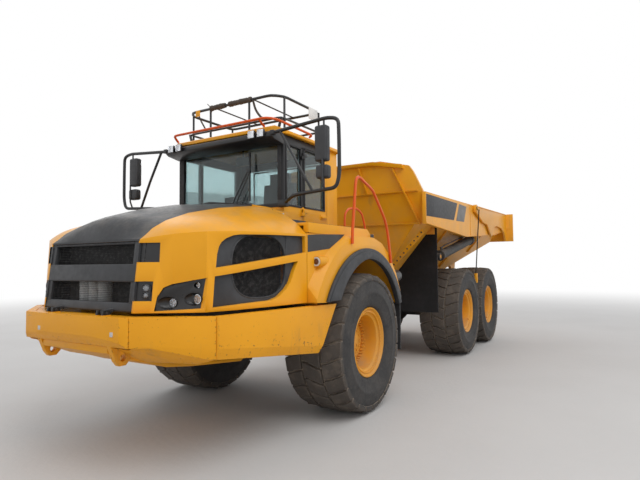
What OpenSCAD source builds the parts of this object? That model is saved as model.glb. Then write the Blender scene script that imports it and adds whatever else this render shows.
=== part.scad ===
/* [Wheels] */
// Radius of a tyre over its lugs
tyre_r = 790; // [740:5:830]
// Width of a tyre
tyre_w = 725; // [640:5:760]
// Radius of the rim where the tyre beads sit
rim_r = 318; // [290:2:340]
// Distance between the wheel centres of one axle
track = 2216; // [2100:4:2300]

/* [Layout] */
// Overall length from the bumper to the tailgate
overall_length = 10380; // [10300:10:10500]
// Bumper face ahead of the front axle
front_overhang = 2760; // [2720:10:2800]
// Front axle to the first bogie axle
wheelbase = 4173; // [4100:10:4250]
// Distance between the two bogie axles
bogie_spread = 1670; // [1640:5:1750]
// Steering pivot behind the front axle
hitch_back = 1210; // [1180:5:1240]

/* [Frames] */
// Underside of the front and rear frame rails
rail_z = 985; // [960:5:1010]
// Depth of a frame rail
rail_h = 310; // [260:10:330]
// Thickness of a frame rail
rail_t = 110; // [80:5:130]
// Half the distance between the rail centres
rail_y = 400; // [380:5:420]
// Radius of the steering pins
hitch_pin_r = 45; // [35:1:55]
// Radius of the tube that lets the frames roll against each other
roll_tube_r = 150; // [130:5:165]

/* [Hood] */
// Lower edge of the hood
hood_z0 = 1310; // [1300:2:1320]
// Thickness of the hood panels
hood_wall = 36; // [20:2:50]
// Half the width of the grille
grille_half = 600; // [560:5:620]
// Seam between the hood and the fenders, ahead of the front axle
hood_back = 1105; // [1090:5:1120]
// Hood hinge ahead of the front axle
hood_hinge_x = 2660; // [2650:5:2680]

/* [Bumper] */
// Top of the bumper
bumper_top = 1290; // [1280:2:1295]
// Lower edge of the bumper's centre
bumper_low = 1015; // [980:5:1050]
// Half the width of the bumper's centre, between its seams
bumper_mid = 640; // [610:5:680]
// Bumper's front corner ahead of the front axle
bumper_corner_x = 2300; // [2270:5:2340]
// Half the width over the bumper's front corners
bumper_corner_y = 1256; // [1240:4:1280]
// Half the width over the fenders and the bumper
front_half = 1400; // [1390:2:1410]

/* [Cab] */
// Half the width of the cab
cab_half = 800; // [780:5:810]
// Front of the cab ahead of the front axle
cab_front = 800; // [790:5:810]
// Length of the cab
cab_len = 1180; // [1100:10:1200]
// Underside of the cab floor
cab_z0 = 1600; // [1590:5:1640]
// Top of the cab walls
cab_top = 3105; // [3060:5:3120]
// Thickness of the cab walls
cab_wall = 45; // [35:1:55]
// Thickness of the window panes
glass_t = 8; // [5:1:12]
// Radius of a handrail tube
handrail_r = 17; // [14:1:20]

/* [Fenders] */
// Radius of the wheel arch
arch_r = 1040; // [1020:5:1050]
// Top of the walkway on the fender
deck_z = 2095; // [2080:5:2110]

/* [Load body] */
// Half the width over the body sides
body_half = 1450; // [1440:2:1460]
// Thickness of the body plates
body_wall = 50; // [40:2:60]
// Top of the body sides at the front
side_top_front = 2750; // [2720:5:2780]
// Top of the body sides at the rear
side_top_rear = 2856; // [2830:2:2870]
// Underside of the body floor
floor_z = 1480; // [1470:2:1500]
// Half the width of the body floor
floor_half = 520; // [490:5:540]
// Height of the rear lip
lip_z = 2181; // [2160:3:2200]
// Top of the headboard
headboard_top = 3240; // [3200:5:3260]
// Tipping pivot ahead of the rear end
tip_from_end = 1134; // [1120:2:1150]
// Height of the tipping pivot
tip_z = 1500; // [1490:2:1510]
// Radius of the tipping pins
tip_pin_r = 40; // [32:1:45]
// Half the width over the tailgate arms
gate_half = 1655; // [1640:5:1665]

/* [Cylinders] */
// Radius of a hoist cylinder's barrel
hoist_r = 85; // [75:1:90]
// Radius of a steering cylinder's barrel
steer_r = 55; // [50:1:60]

/* [Hidden] */
$fn = 64;

gap = 0.3;
big = 20000;
yellow = "goldenrod";
black = "dimgray";
steel = "slategray";

front_axle_x = overall_length / 2 - front_overhang;
rear_end = front_overhang - overall_length;
hub_z = tyre_r;
wheel_y = track / 2;
hitch_x = -hitch_back;
mid_axle_x = -wheelbase;
rear_axle_x = -wheelbase - bogie_spread;
rail_top = rail_z + rail_h;
cab_back = cab_front - cab_len;
tip_x = rear_end + tip_from_end;

// Everything below is drawn with X = 0 at the front axle, and moved to the middle of the machine here
module vehicle() translate([front_axle_x, 0, 0]) children();

module both_sides() {
    children();
    mirror([0, 1, 0]) children();
}

// A plate with its outline in the XZ plane, from y to y + w
module profile(points, y, w) translate([0, y + w, 0]) rotate([90, 0, 0]) linear_extrude(w) polygon(points);

// A bar with its outline in the YZ plane, from x to x + l
module section(points, x, l) translate([x, 0, 0]) rotate([90, 0, 90]) linear_extrude(l) polygon(points);

// A plate with its outline seen from above, from z to z + h
module plan(points, z, h) translate([0, 0, z]) linear_extrude(h) polygon(points);

module block(low, high) translate(low) cube(high - low);

module cross_bore(x, z, r, y, w) translate([x, y + w, z]) rotate([90, 0, 0]) cylinder(h = w, r = r, $fn = r > 500 ? 240 : 64);

module tube(a, b, r) {
    v = b - a;
    translate(a) rotate([0, acos(v.z / norm(v)), atan2(v.y, v.x)]) cylinder(h = norm(v), r = r);
}

function unit(v) = v / norm(v);

// Points of a bent tube's centre line, with each corner cut back by d and rounded over three points
function rounded(points, d) = concat([points[0]],
    [for (i = [1 : len(points) - 2]) let(
            a = points[i] + unit(points[i - 1] - points[i]) * min(d, norm(points[i - 1] - points[i]) * 0.45),
            b = points[i] + unit(points[i + 1] - points[i]) * min(d, norm(points[i + 1] - points[i]) * 0.45))
        each [a, (a + b) / 4 + points[i] / 2, b]],
    [points[len(points) - 1]]);

// Ring round point i of a centre line, in the plane that halves its bend
function pipe_ring(c, i, r, n, normal) = let(
        back = unit(c[max(i, 1)] - c[max(i, 1) - 1]),
        ahead = unit(c[min(i, len(c) - 2) + 1] - c[min(i, len(c) - 2)]),
        along = unit(back + ahead),
        side = unit(cross(along, normal)),
        up = cross(along, side))
    [for (k = [0 : n - 1]) c[i] + r * cos(360 * k / n) * side + r * sin(360 * k / n) * up];

// A bent tube through these points; normal is square to the plane in which it mostly bends
pipe_sides = 10;
module pipe(points, r, normal, bend = 60) {
    c = rounded(points, bend);
    skin([for (i = [0 : len(c) - 1]) pipe_ring(c, i, r, pipe_sides, normal)]);
}

function flip(points) = [for (p = points) [-p.x, p.y]];
function reversed(list) = [for (i = [len(list) - 1 : -1 : 0]) list[i]];

// Front frame
ear_t = 70;
ear_r = 120;
ear_low = 770;
ear_high = 1180;
transom_x = -1000;
rail_front = 2330;

module front_frame() vehicle() color(black) difference() {
    union() {
        both_sides() {
            profile([[transom_x, rail_z], [rail_front - 200, rail_z], [rail_front, rail_z + 90], [rail_front, rail_top], [transom_x, rail_top]],
                rail_y - rail_t / 2, rail_t);
            // Cab and fender outriggers
            for (x = [-600, 900]) block([x - 60, rail_y, rail_top - 160], [x + 60, 700, rail_top - 20]);
        }
        for (x = [-60, 600, 1500, rail_front - 60]) block([x - 50, -rail_y, rail_z + 60], [x + 50, rail_y, rail_z + 200]);
        block([transom_x, -rail_y - rail_t / 2, ear_low], [transom_x + 120, rail_y + rail_t / 2, rail_top]);
        for (z = [ear_low, ear_high]) {
            plan([[transom_x + 1, -330], [transom_x + 1, 330], [hitch_x, ear_r], [hitch_x, -ear_r]], z, ear_t);
            translate([hitch_x, 0, z]) cylinder(h = ear_t, r = ear_r);
        }
        // Steering cylinder anchors
        both_sides() {
            block([steer_base.x - 40, steer_base.y - 60, steer_z - steer_eye_h / 2 - 40], [steer_base.x + 70, rail_y, steer_z - steer_eye_h / 2 - gap]);
            translate([steer_base.x, steer_base.y, steer_z - steer_eye_h / 2 - 1]) cylinder(h = steer_eye_h + 2, r = steer_pin_r);
        }
    }
    translate([hitch_x, 0, 0]) cylinder(h = big, r = hitch_pin_r);
    // Windows for the steering cylinders
    both_sides() block([transom_x - 10, 110, 1025], [transom_x + 130, rail_y - rail_t / 2, 1179]);
}

// Engine, as one plain block
module engine_block() vehicle() color(steel) block([950, -300, rail_z + 200 + gap], [1900, 300, 2000]);

// Radiators behind the grille, with their fan
module cooling_pack() vehicle() color(black) {
    block([2250, -520, rail_top + gap], [2400, 520, 1880]);
    difference() {
        block([2200, -560, rail_top + gap], [2251, 560, 1900]);
        translate([2100, 0, 1600]) rotate([0, 90, 0]) cylinder(h = 300, r = 240);
    }
    translate([2150, 0, 1600]) rotate([0, 90, 0]) cylinder(h = 110, r = 70);
}

// Front axle with its hubs' spindles
axle_tube_r = 120;
spindle_r = 110;
diff_r = 250;
module axle_beam() {
    cross_bore(0, hub_z, axle_tube_r, -720, 1440);
    cross_bore(0, hub_z, spindle_r, -wheel_y - 60, 2 * wheel_y + 120);
    translate([0, 0, hub_z]) sphere(r = diff_r);
    both_sides() cross_bore(0, hub_z, 210, 640, 90);
}

module front_axle() vehicle() color(black) {
    axle_beam();
    both_sides() {
        // Spring between the axle and the rail
        translate([0, rail_y, hub_z + 60]) cylinder(h = rail_z - hub_z - 60 - gap, r = 70);
        tube([0, rail_y, hub_z], [-700, 180, hub_z + 90], 45);
    }
    tube([-700, -190, hub_z + 90], [-700, 190, hub_z + 90], 55);
    block([-740, -60, hub_z + 90], [-660, 60, rail_z + 60 - gap]);
}

// Bumper
function bumper_outline(inset) = let(o = inset) [
    [700, front_half - o], [bumper_corner_x - o / 3, bumper_corner_y - o], [front_overhang - 25 - o, bumper_mid - o / 3],
    [front_overhang - 3 - o, 330], [front_overhang - o, 120]];
function whole_outline(inset) = concat(bumper_outline(inset), reversed([for (p = bumper_outline(inset)) [p.x, -p.y]]));

tow_eye_x = 2590;
tow_eye_y = 480;
tow_eye_z = 955;
tow_bore_r = 28;
hood_pin_r = 12;

module bumper() vehicle() color(yellow) difference() {
    union() {
        intersection() {
            difference() {
                plan(whole_outline(0), 700, bumper_top - 700);
                plan(whole_outline(70), 600, 1000);
                block([0, -1200, 600], [1500, 1200, 2000]);
            }
            profile([[720, 1275], [1000, 815], [1800, 892], [bumper_corner_x + 50, bumper_low - 53], [2600, bumper_low + 40], [front_overhang - 60, bumper_low + 40],
                [front_overhang - 25, bumper_low + 85], [front_overhang + 10, bumper_low + 140], [front_overhang + 10, bumper_top],
                [2455, bumper_top], [720, bumper_top - 12]], -2000, 4000);
        }
        // Ledge in front of the grille
        intersection() {
            plan(whole_outline(30), bumper_top - 35, 30);
            block([rail_front + 8, -1330, 0], [3000, 1330, 3000]);
        }
        // Carriers from the rail ends
        both_sides() block([rail_front + gap, rail_y - rail_t / 2, 1090], [2700, rail_y + rail_t / 2, 1230]);
        // Tow eyes
        both_sides() {
            profile([[tow_eye_x - 75, bumper_low + 85], [tow_eye_x - 70, tow_eye_z - 20], [tow_eye_x - 30, tow_eye_z - 62], [tow_eye_x + 30, tow_eye_z - 62],
                [tow_eye_x + 65, tow_eye_z - 20], [tow_eye_x + 130, bumper_low + 85]], tow_eye_y - 25, 50);
        }
        // Hood hinge clevises
        both_sides() for (y = [300, 372]) profile([[hood_hinge_x - 40, bumper_top - 10], [hood_hinge_x - 30, hood_z0 + 20],
            [hood_hinge_x + 30, hood_z0 + 20], [hood_hinge_x + 40, bumper_top - 10]], y, 22);
    }
    both_sides() cross_bore(tow_eye_x, tow_eye_z, tow_bore_r, tow_eye_y - 40, 80);
    both_sides() cross_bore(hood_hinge_x, hood_z0, hood_pin_r + gap, 290, 120);
}

module skid_plate() vehicle() color(yellow) difference() {
    profile([[front_overhang - 70, bumper_low + 40 - gap], [2600, bumper_low + 40 - gap], [2550, 1000], [2430, 940], [2230, 876], [2080, 822], [1790, 774], [1100, 702], [1000, 740], [980, 740],
        [1090, 670], [1800, 742], [2090, 786], [2240, 841], [2442, 902], [2570, 958], [front_overhang - 70, bumper_low - 17]], -445, 890);
    for (x = [1400, 1800]) block([x, -150, 600], [x + 200, 150, 850]);
}

// Fenders with their walkways
deck_in = 872;
fender_in = cab_half + 5;
fender_side = 1345;
// Rear edge of the fender, from the top down
fender_back = [[-180, 1990], [-420, 1930], [-640, 1790], [-850, 1560], [-985, 1330], [-1010, 1170]];
module fender() {
    difference() {
        union() {
            // Side panel, flush with the hood at the seam, and the raised band round the arch
            intersection() {
                profile(concat([[hood_back - 5, hood_z0], [hood_back - 5, 1990]], fender_back, [[-700, 1170], [700, 1290]]), 1250, front_half - 1250);
                union() {
                    plan([[hood_back, 1250], [hood_back, 1292], [500, fender_side], [-1100, fender_side], [-1100, 1290], [450, 1290]], 1000, 1100);
                    translate([0, front_half, hub_z]) rotate([90, 0, 0]) cylinder(h = 110, r1 = arch_r + 190, r2 = arch_r + 250, $fn = 240);
                }
            }
            // Walkway
            profile([[hood_back - 5, deck_z - 30], [hood_back - 5, deck_z], [-210, deck_z], [-300, deck_z - 110], [-300, deck_z - 150], [-200, deck_z - 30]],
                deck_in, 1250 - deck_in);
            profile([[hood_back - 5, deck_z - 100], [hood_back - 5, deck_z], [-200, deck_z], [-420, 1950], [-420, 1900], [-200, 1980]], 1250 - 1, 60);
            // Wheel well
            intersection() {
                difference() {
                    cross_bore(0, hub_z, arch_r + 45, fender_in, 1291 - fender_in);
                    cross_bore(0, hub_z, arch_r, fender_in - 10, 800);
                }
                profile([[1100, 1300], [1100, 2200], [-1100, 2200], [-1100, 1170], [0, 1170]], 0, 2000);
            }
            // Inner wall down to the frame
            profile(concat([[hood_back - 5, 1300], [hood_back - 5, deck_z - 29], [-200, deck_z - 29]], fender_back, [[-700, 1170], [-700, 1300]]),
                fender_in, 30);
        }
        cross_bore(0, hub_z, arch_r, fender_in, 1000);
    }
    // Posts that carry the deck
    block([850, deck_in, hub_z + arch_r], [900, 1290, deck_z - 29]);
}

module left_fender() vehicle() color(yellow) fender();
module right_fender() vehicle() color(yellow) mirror([0, 1, 0]) fender();

module arch_flares() vehicle() color(black) both_sides() intersection() {
    difference() {
        cross_bore(0, hub_z, arch_r + 30, front_half + gap, 25);
        cross_bore(0, hub_z, arch_r - 30, front_half - 10, 60);
    }
    profile([[960, 1310], [1100, 2200], [-1100, 2200], [-950, 1170]], 0, 2000);
}

module front_mudflaps() vehicle() color(black) both_sides()
    profile([[-985, 1170 - gap], [-960, 1170 - gap], [-960, 560], [-985, 560]], 760, 640);

// Cab
door_front = 425;
door_back = -125;
door_low = 2130;
door_high = 3030;
door_y = cab_half;
door_t = 40;
window_low = 2345;
window_high = 3000;

module cab_shell() vehicle() color(yellow) difference() {
    union() {
        difference() {
            block([cab_back, -cab_half, cab_z0], [cab_front, cab_half, cab_top]);
            block([cab_back + cab_wall, -cab_half + cab_wall, cab_z0 + cab_wall], [cab_front - cab_wall, cab_half - cab_wall, cab_top + 1]);
        }
        // Cowl in front of the windscreen
        difference() {
            section([[-860, deck_z + 5], [-860, 2240], [-600, 2318], [0, 2390], [600, 2318], [860, 2240], [860, deck_z + 5]], cab_front - 1, hood_back - cab_front - 4);
            section([[-830, 1700], [-830, 2215], [-590, 2290], [0, 2360], [590, 2290], [830, 2215], [830, 1700]], cab_front, hood_back - cab_front + 10);
        }
        // Door hinges
        for (z = hinge_zs) {
            translate([hinge_at.x, hinge_at.y, z]) cylinder(h = 40, r = hinge_r);
            block([hinge_at.x - 4, cab_half - 1, z], [hinge_at.x + hinge_r + 20, hinge_at.y + 8, z + 40]);
        }
        // Cab mounts on the frame
        both_sides() for (x = [cab_back + 120, cab_front - 160])
            block([x - 50, rail_y - 50, rail_top + gap], [x + 50, rail_y + 50, cab_z0 + 1]);
    }
    // Windscreen, rear window and side windows
    block([cab_front - 100, -720, window_low + 10], [cab_front + 10, 720, window_high]);
    block([cab_back - 10, -640, window_low], [cab_back + 100, 640, window_high]);
    both_sides() block([door_front + 45, cab_half - 100, window_low], [cab_front - 60, cab_half + 10, window_high]);
    block([cab_back + 150, -cab_half - 10, window_low], [door_front, -cab_half + 100, window_high]);
    // Doorway
    block([door_back, cab_half - 100, door_low], [door_front, cab_half + 10, door_high]);
    for (z = hinge_zs) translate([hinge_at.x, hinge_at.y, z - 10]) cylinder(h = 100, r = hinge_pin_r + 0.05);
}

roof_over = 40;
module cab_roof() vehicle() color(yellow) {
    x0 = cab_back - roof_over;
    x1 = cab_front + 190;
    y = cab_half + roof_over;
    intersection() {
        profile([[x0, cab_top + gap], [x1, cab_top + gap + 10], [x1 - 10, cab_top + 50], [x1 - 120, cab_top + 92], [x0 + 80, cab_top + 92], [x0, cab_top + 45]], -y, 2 * y);
        section([[-y, cab_top], [-y, cab_top + 40], [-y + 120, cab_top + 100], [y - 120, cab_top + 100], [y, cab_top + 40], [y, cab_top]], x0, x1 - x0);
        // Rounded front corners
        plan([[x0, -y], [700, -y], [790, -815], [860, -770], [930, -705], [x1 - 20, -630], [x1, -560],
            [x1, 560], [x1 - 20, 630], [930, 705], [860, 770], [790, 815], [700, y], [x0, y]], cab_top, 200);
    }
}

module cab_glass() vehicle() color("lightblue") {
    block([cab_front - 30 - glass_t, -720 + gap, window_low + 10 + gap], [cab_front - 30, 720 - gap, window_high - gap]);
    block([cab_back + 20, -640 + gap, window_low + gap], [cab_back + 20 + glass_t, 640 - gap, window_high - gap]);
    both_sides() block([door_front + 45 + gap, cab_half - 20 - glass_t, window_low + gap], [cab_front - 60 - gap, cab_half - 20, window_high - gap]);
    block([cab_back + 150 + gap, -cab_half + 20, window_low + gap], [door_front - gap, -cab_half + 20 + glass_t, window_high - gap]);
}

visor_front = 1020;
module sun_visor() vehicle() color(black)
    profile([[cab_front + gap, 2985], [visor_front - 40, 3015], [visor_front, 3040], [visor_front, 3075], [1000, cab_top + gap - 3],
        [cab_front + gap, cab_top - 3]], -cab_half - 10, 2 * cab_half + 20);

lamp_ys = [-678, -553, 553, 678];
module work_lamps() vehicle() color("white") for (y = lamp_ys)
    block([visor_front + gap, y - 45, 3035], [visor_front + 40, y + 45, 3122]);

// Seat, console and steering wheel inside the cab
module cab_interior() vehicle() color(black) {
    floor_top = cab_z0 + cab_wall + gap;
    block([-200, -190, floor_top], [150, 190, 2020]);
    block([-230, -250, 2020], [270, 250, 2130]);
    profile([[-230, 2130], [-150, 2130], [-210, 2760], [-290, 2760]], -240, 480);
    block([-300 + 20, -150, 2750], [-220, 150, 2900]);
    profile([[500, floor_top], [750, floor_top], [750, 2330], [620, 2330], [560, 2150]], -600, 1200);
    tube([560, 0, 2150], [470, 0, 2360], 30);
    translate([470, 0, 2360]) rotate([0, -23, 0]) rotate_extrude() translate([190, 0]) circle(r = 16, $fn = 24);
    translate([470, 0, 2360]) rotate([0, -23, 0]) { cylinder(h = 24, r = 60, center = true); for (a = [90, 210, 330]) rotate([0, 0, a]) translate([0, -18, -8]) cube([190, 36, 16]); }
}

// Mirrors on their tube loops
mirror_x = 1000;
module mirror_set() {
    pipe([[mirror_x, cab_half + 12, 3075], [mirror_x, 1475, 3128], [mirror_x, 1560, 3095], [mirror_x, 1605, 2990], [mirror_x, 1605, 2500],
        [mirror_x, 1545, 2420], [mirror_x - 30, 1040, 2396], [cab_front + 35, 845, 2345]], 19, [1, 0, 0]);
    pipe([[mirror_x, 900, 3082], [mirror_x, 1100, 2740], [mirror_x - 15, 1290, 2408]], 15, [1, 0, 0]);
    // Large and small mirror heads
    block([mirror_x - 70, 1400, 2700], [mirror_x + 30, 1570, 3060]);
    block([mirror_x - 70, 1380, 2530], [mirror_x + 20, 1570, 2660]);
    for (z = [2580, 2700, 3000]) block([mirror_x - 12, 1560, z], [mirror_x + 12, 1600, z + 24]);
    block([cab_front + gap, 760, 2300], [cab_front + 60, 870, 2380]);
}

module mirrors() vehicle() color(black) both_sides() mirror_set();

// Guard rail on the cab roof
rail_top_z = 3580;
module roof_rail() vehicle() color(black) {
    x0 = -90;
    x1 = 770;
    y = 710;
    low_z = 3330;
    r = 16;
    roof = cab_top + 92;
    pipe([[x0, 0, rail_top_z], [x0, y, rail_top_z], [x1 - 120, y, rail_top_z], [x1, y - 100, rail_top_z], [x1, 0, rail_top_z]], r, [0, 0, 1]);
    pipe([[x0, 0, rail_top_z], [x0, -y, rail_top_z], [x1 - 120, -y, rail_top_z], [x1, -y + 100, rail_top_z], [x1, 0, rail_top_z]], r, [0, 0, 1]);
    both_sides() pipe([[x0, 0, low_z], [x0, y, low_z], [x1 - 60, y, low_z], [x1 - 60, 0, low_z]], r - 3, [0, 0, 1]);
    both_sides() for (p = [[x0, y], [x1 - 120, y], [x1, 300]])
        tube([p.x, p.y, roof + gap], [p.x, p.y, rail_top_z], r - 3);
    both_sides() tube([x1 - 60, y, low_z], [x1 - 60, y - 40, roof + 6], r);
}

hoop_y = front_half + handrail_r * cos(180 / pipe_sides) + gap;
module handrails() vehicle() color("orangered") {
    roof = cab_top + 60;
    // Tall hoop on the left fender and a low one at the head of the steps
    pipe([[386, hoop_y, 1900], [383, hoop_y, 2043], [290, hoop_y, 2610], [232, hoop_y, 2665], [-143, hoop_y, 2551], [-480, hoop_y, 2230], [-560, hoop_y, 2080],
        [-655, hoop_y, 1690]], handrail_r, [0, 1, 0]);
    pipe([[-205, 1000, deck_z + gap], [-215, 1000, 2306], [-325, 1000, 2378], [-540, 1000, 2398], [-689, 1000, 2344], [-780, 1000, 2150],
        [-790, 1000, 1549]], handrail_r - 3, [0, 1, 0]);
    mirror([0, 1, 0]) pipe([[386, hoop_y, 1900], [383, hoop_y, 2043], [290, hoop_y, 2500], [-143, hoop_y, 2500], [-420, hoop_y, 2000], [-470, hoop_y, 1870]],
        handrail_r, [0, 1, 0]);
    // Rail along the edge of the cab roof
    pipe([[930, -680, 3184], [1010, -670, roof + 75], [1030, -600, roof + 75], [1030, 740, roof + 75], [960, 830, roof + 60], [320, 870, roof + 20], [290, 815, 3176]],
        handrail_r - 3, [0, 0, 1]);
    pipe([[930, 640, 3184], [970, 640, 3200], [1020, 640, roof + 72]], handrail_r - 4, [0, 1, 0]);
}

// Steps behind the front wheels
step_back = -1120;
step_t = 30;
step_in = 1000;
module access_steps() vehicle() color(black) both_sides() {
    for (z = [620, 880, 1140, 1400]) block([step_back, step_in, z], [step_back + 80, step_in + 310, z + step_t]);
    for (y = [step_in, step_in + 290]) block([step_back + 10, y, 600], [step_back + 70, y + 20, 1440]);
    // Bracket at the back of the fender
    profile([[fender_back[4].x - gap, 1331], [fender_back[4].x - gap + 64, 1440], [step_back + 60, 1440], [step_back + 60, 1331]], step_in + 20, 270);
    // Arm from the frame's end
    plan([[transom_x, rail_y + rail_t / 2 + gap], [transom_x + 100, rail_y + rail_t / 2 + gap], [transom_x + 100, 520], [step_back + 80, 780], [step_back + 80, step_in + 10],
        [step_back + 20, step_in + 10], [step_back + 20, 760], [transom_x, 540]], 1240, 50);
}

// Tanks between the frame and the wheels
module side_tanks() vehicle() color(black) both_sides()
    profile([[-930, 760], [-860, 700], [-860, 1190], [-920, 1230], [-990, 1230], [-990, 800]], rail_y + rail_t / 2 + gap, 290);

// Hood, as a lofted shell over these stations:
// [x at the lower edge, lean of the station, half width, crease height, top edge's half width, its height, middle height]
hood_stations = [
    [hood_back, 0, 1290, 1975, 600, 2302, 2364],
    [1600, 0, 1235, 1975, 600, 2238, 2308],
    [2000, 0, 1170, 1968, 600, 2155, 2230],
    [2270, 0.02, 1085, 1955, 600, 2070, 2160],
    [2430, 0.05, 874, 1938, 596, 1995, 2105],
    [2530, 0.09, 708, 1915, 580, 1930, 2040],
    [2590, 0.12, 617, 1896, 550, 1900, 1915]];

function bezier2(a, b, c, n) = [for (i = [0 : n]) let(t = i / n) (1 - t) * (1 - t) * a + 2 * t * (1 - t) * b + t * t * c];

// Half ring from the lower edge up to the middle, as [y, z]
function hood_half(s, inset, z0) = let(
        crease = [s[2] - inset, s[3] - inset * 0.6], edge = [s[4], s[5] - inset], mid = [0, s[6] - inset],
        corner = [edge.x + 0.72 * (crease.x - edge.x), edge.y - 0.2 * (edge.y - crease.y)])
    concat([[s[2] - inset, z0]], bezier2(crease, corner, edge, 4), [for (p = bezier2(edge, [300, mid.y - (mid.y - edge.y) * 0.15], mid, 3)) if (p != edge) p]);

function hood_ring(s, inset, z0, shift) = let(half = hood_half(s, inset, z0))
    [for (p = concat(half, reversed([for (q = half) if (q.x > 0) [-q.x, q.y]])))
        [s[0] + shift - s[1] * (p.y - hood_z0), p.x, p.y]];

module skin(rings) {
    n = len(rings[0]);
    m = len(rings);
    polyhedron(points = [for (r = rings) for (p = r) p],
        faces = concat(
            [[for (j = [0 : n - 1]) j]],
            [for (i = [0 : m - 2]) for (j = [0 : n - 1]) let(k = (j + 1) % n) each [[i * n + j, (i + 1) * n + k, i * n + k], [i * n + j, (i + 1) * n + j, (i + 1) * n + k]]],
            [[for (j = [n - 1 : -1 : 0]) (m - 1) * n + j]]));
}

module hood_solid(inset, z0, shift, grow) skin([for (i = [0 : len(hood_stations) - 1])
    hood_ring(hood_stations[i], inset, z0, i == 0 ? -grow : shift)]);

grille_low = hood_z0 + 2;
grille_high = 1885;
upper_opening = [[2181, 1662], [2169, 1774], [2152, 1837], [2131, 1872], [2088, 1905], [2027, 1930], [1959, 1940], [1655, 1950], [1127, 1955], [1122, 1798], [1724, 1721]];
lower_opening = [[2210, 1342], [2190, 1593], [1769, 1649], [1237, 1714], [1293, 1620], [1342, 1523], [1409, 1454], [1513, 1390], [1613, 1366], [1950, 1356]];
lamp_pocket = [[2500, 1323], [2481, 1436], [2452, 1508], [2420, 1537], [2251, 1586], [2275, 1341]];
notch_depth = 22;

module hood_shell() vehicle() color(yellow) {
    difference() {
        hood_solid(0, hood_z0, 0, 0);
        hood_solid(hood_wall, hood_z0 - 100, -hood_wall * 1.2, 100);
        // Grille opening in the nose
        block([2300, -grille_half, hood_z0 - 10], [2800, grille_half, grille_high]);
        both_sides() {
            profile(upper_opening, 700, 1000);
            profile(lower_opening, 700, 1000);
            profile(lamp_pocket, 640, 600);
        }
        // Notches beside the grille
        difference() {
            both_sides() {
                block([2380, grille_half + 8, 1712], [2700, 768, 1868]);
                block([2380, grille_half + 8, 1404], [2700, 735, 1560]);
            }
            hood_solid(notch_depth, hood_z0 - 100, -notch_depth, 0);
        }
    }
}

module grille() vehicle() color(black) {
    lean = 0.12;
    // Frame bands, as [z, height]
    for (band = [[grille_low, 78], [1550, 150], [1850, 35 - gap]]) section_band(band[0], band[1], lean);
    // Hinge arms
    both_sides() {
        profile([[2565, grille_low], [2565, hood_z0 + 30], [hood_hinge_x + 16, hood_z0 + 16], [hood_hinge_x + 16, hood_z0 - 14], [hood_hinge_x - 20, hood_z0 - 14]], 326, 42);
        cross_bore(hood_hinge_x, hood_z0, hood_pin_r, 298, 98);
    }
    both_sides() profile([[2590 - 60, 1347], [2590 - 6, 1347], [2590 - 71, 1884], [2590 - 130, 1884]], grille_half - 45, 45 - gap);
    for (i = [-5 : 5]) profile([[2590 - 54, 1350], [2590 - 30, 1350], [2590 - 93, 1870], [2590 - 117, 1870]], i * 100 - 6, 12);
}

module section_band(z, h, lean) profile([[2590 - 60 - lean * (z - hood_z0), z], [2590 - 2 - lean * (z - hood_z0), z],
    [2590 - 2 - lean * (z + h - hood_z0), z + h], [2590 - 60 - lean * (z + h - hood_z0), z + h]], -grille_half + gap, 2 * (grille_half - gap));

// Half width between the hood's side walls at x and height z
function hood_in(x, z) = lookup(x, [for (i = [0 : len(hood_stations) - 1]) let(s = hood_stations[i])
    [s[0] - (i == 0 ? 100 : hood_wall * 1.2) - s[1] * (z - hood_z0), s[2] - hood_wall]]);

// A panel against the hood's inner side, over these places along the hood
module inner_panel(xs, z, h, t) let(seat = [for (x = xs) [x, hood_in(x, z + h + 96) - gap]])
    plan(concat(seat, reversed([for (p = seat) p - [0, t]])), z, h);

// Mesh panels behind the side openings
module hood_mesh() vehicle() color(black) both_sides() inner_panel([1115, 1556.8, 1956.8, 2215], 1330, 600, 6);

module head_lamps() vehicle() color("white") both_sides() inner_panel([2217, 2226.8, 2386.8, 2486.8], 1314, 286, 60);

// Cab door, hinged at its front edge on two pins
door_gap = 6;
hinge_at = [door_front + 12, cab_half + 22];
hinge_zs = [2230, 2880];
hinge_r = 18;
hinge_pin_r = 9;
module cab_door() vehicle() color(yellow) {
    difference() {
        block([door_back + door_gap, door_y - door_t + 2, door_low + door_gap], [door_front - door_gap, door_y + 2, door_high - door_gap]);
        block([door_back + 80, door_y - 100, window_low], [door_front - 45, door_y + 100, window_high]);
    }
    for (z = hinge_zs) {
        translate([hinge_at.x, hinge_at.y, z + 40 + gap]) cylinder(h = 40, r = hinge_r);
        block([door_front - 60, door_y + 1, z + 40 + gap], [hinge_at.x, hinge_at.y + 8, z + 80 + gap]);
        translate([hinge_at.x, hinge_at.y, z + 2]) cylinder(h = 50, r = hinge_pin_r);
    }
}

module door_glass() vehicle() color("lightblue")
    block([door_back + 80 + gap, door_y - 20 - glass_t, window_low + gap], [door_front - 45 - gap, door_y - 20, window_high - gap]);

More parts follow.
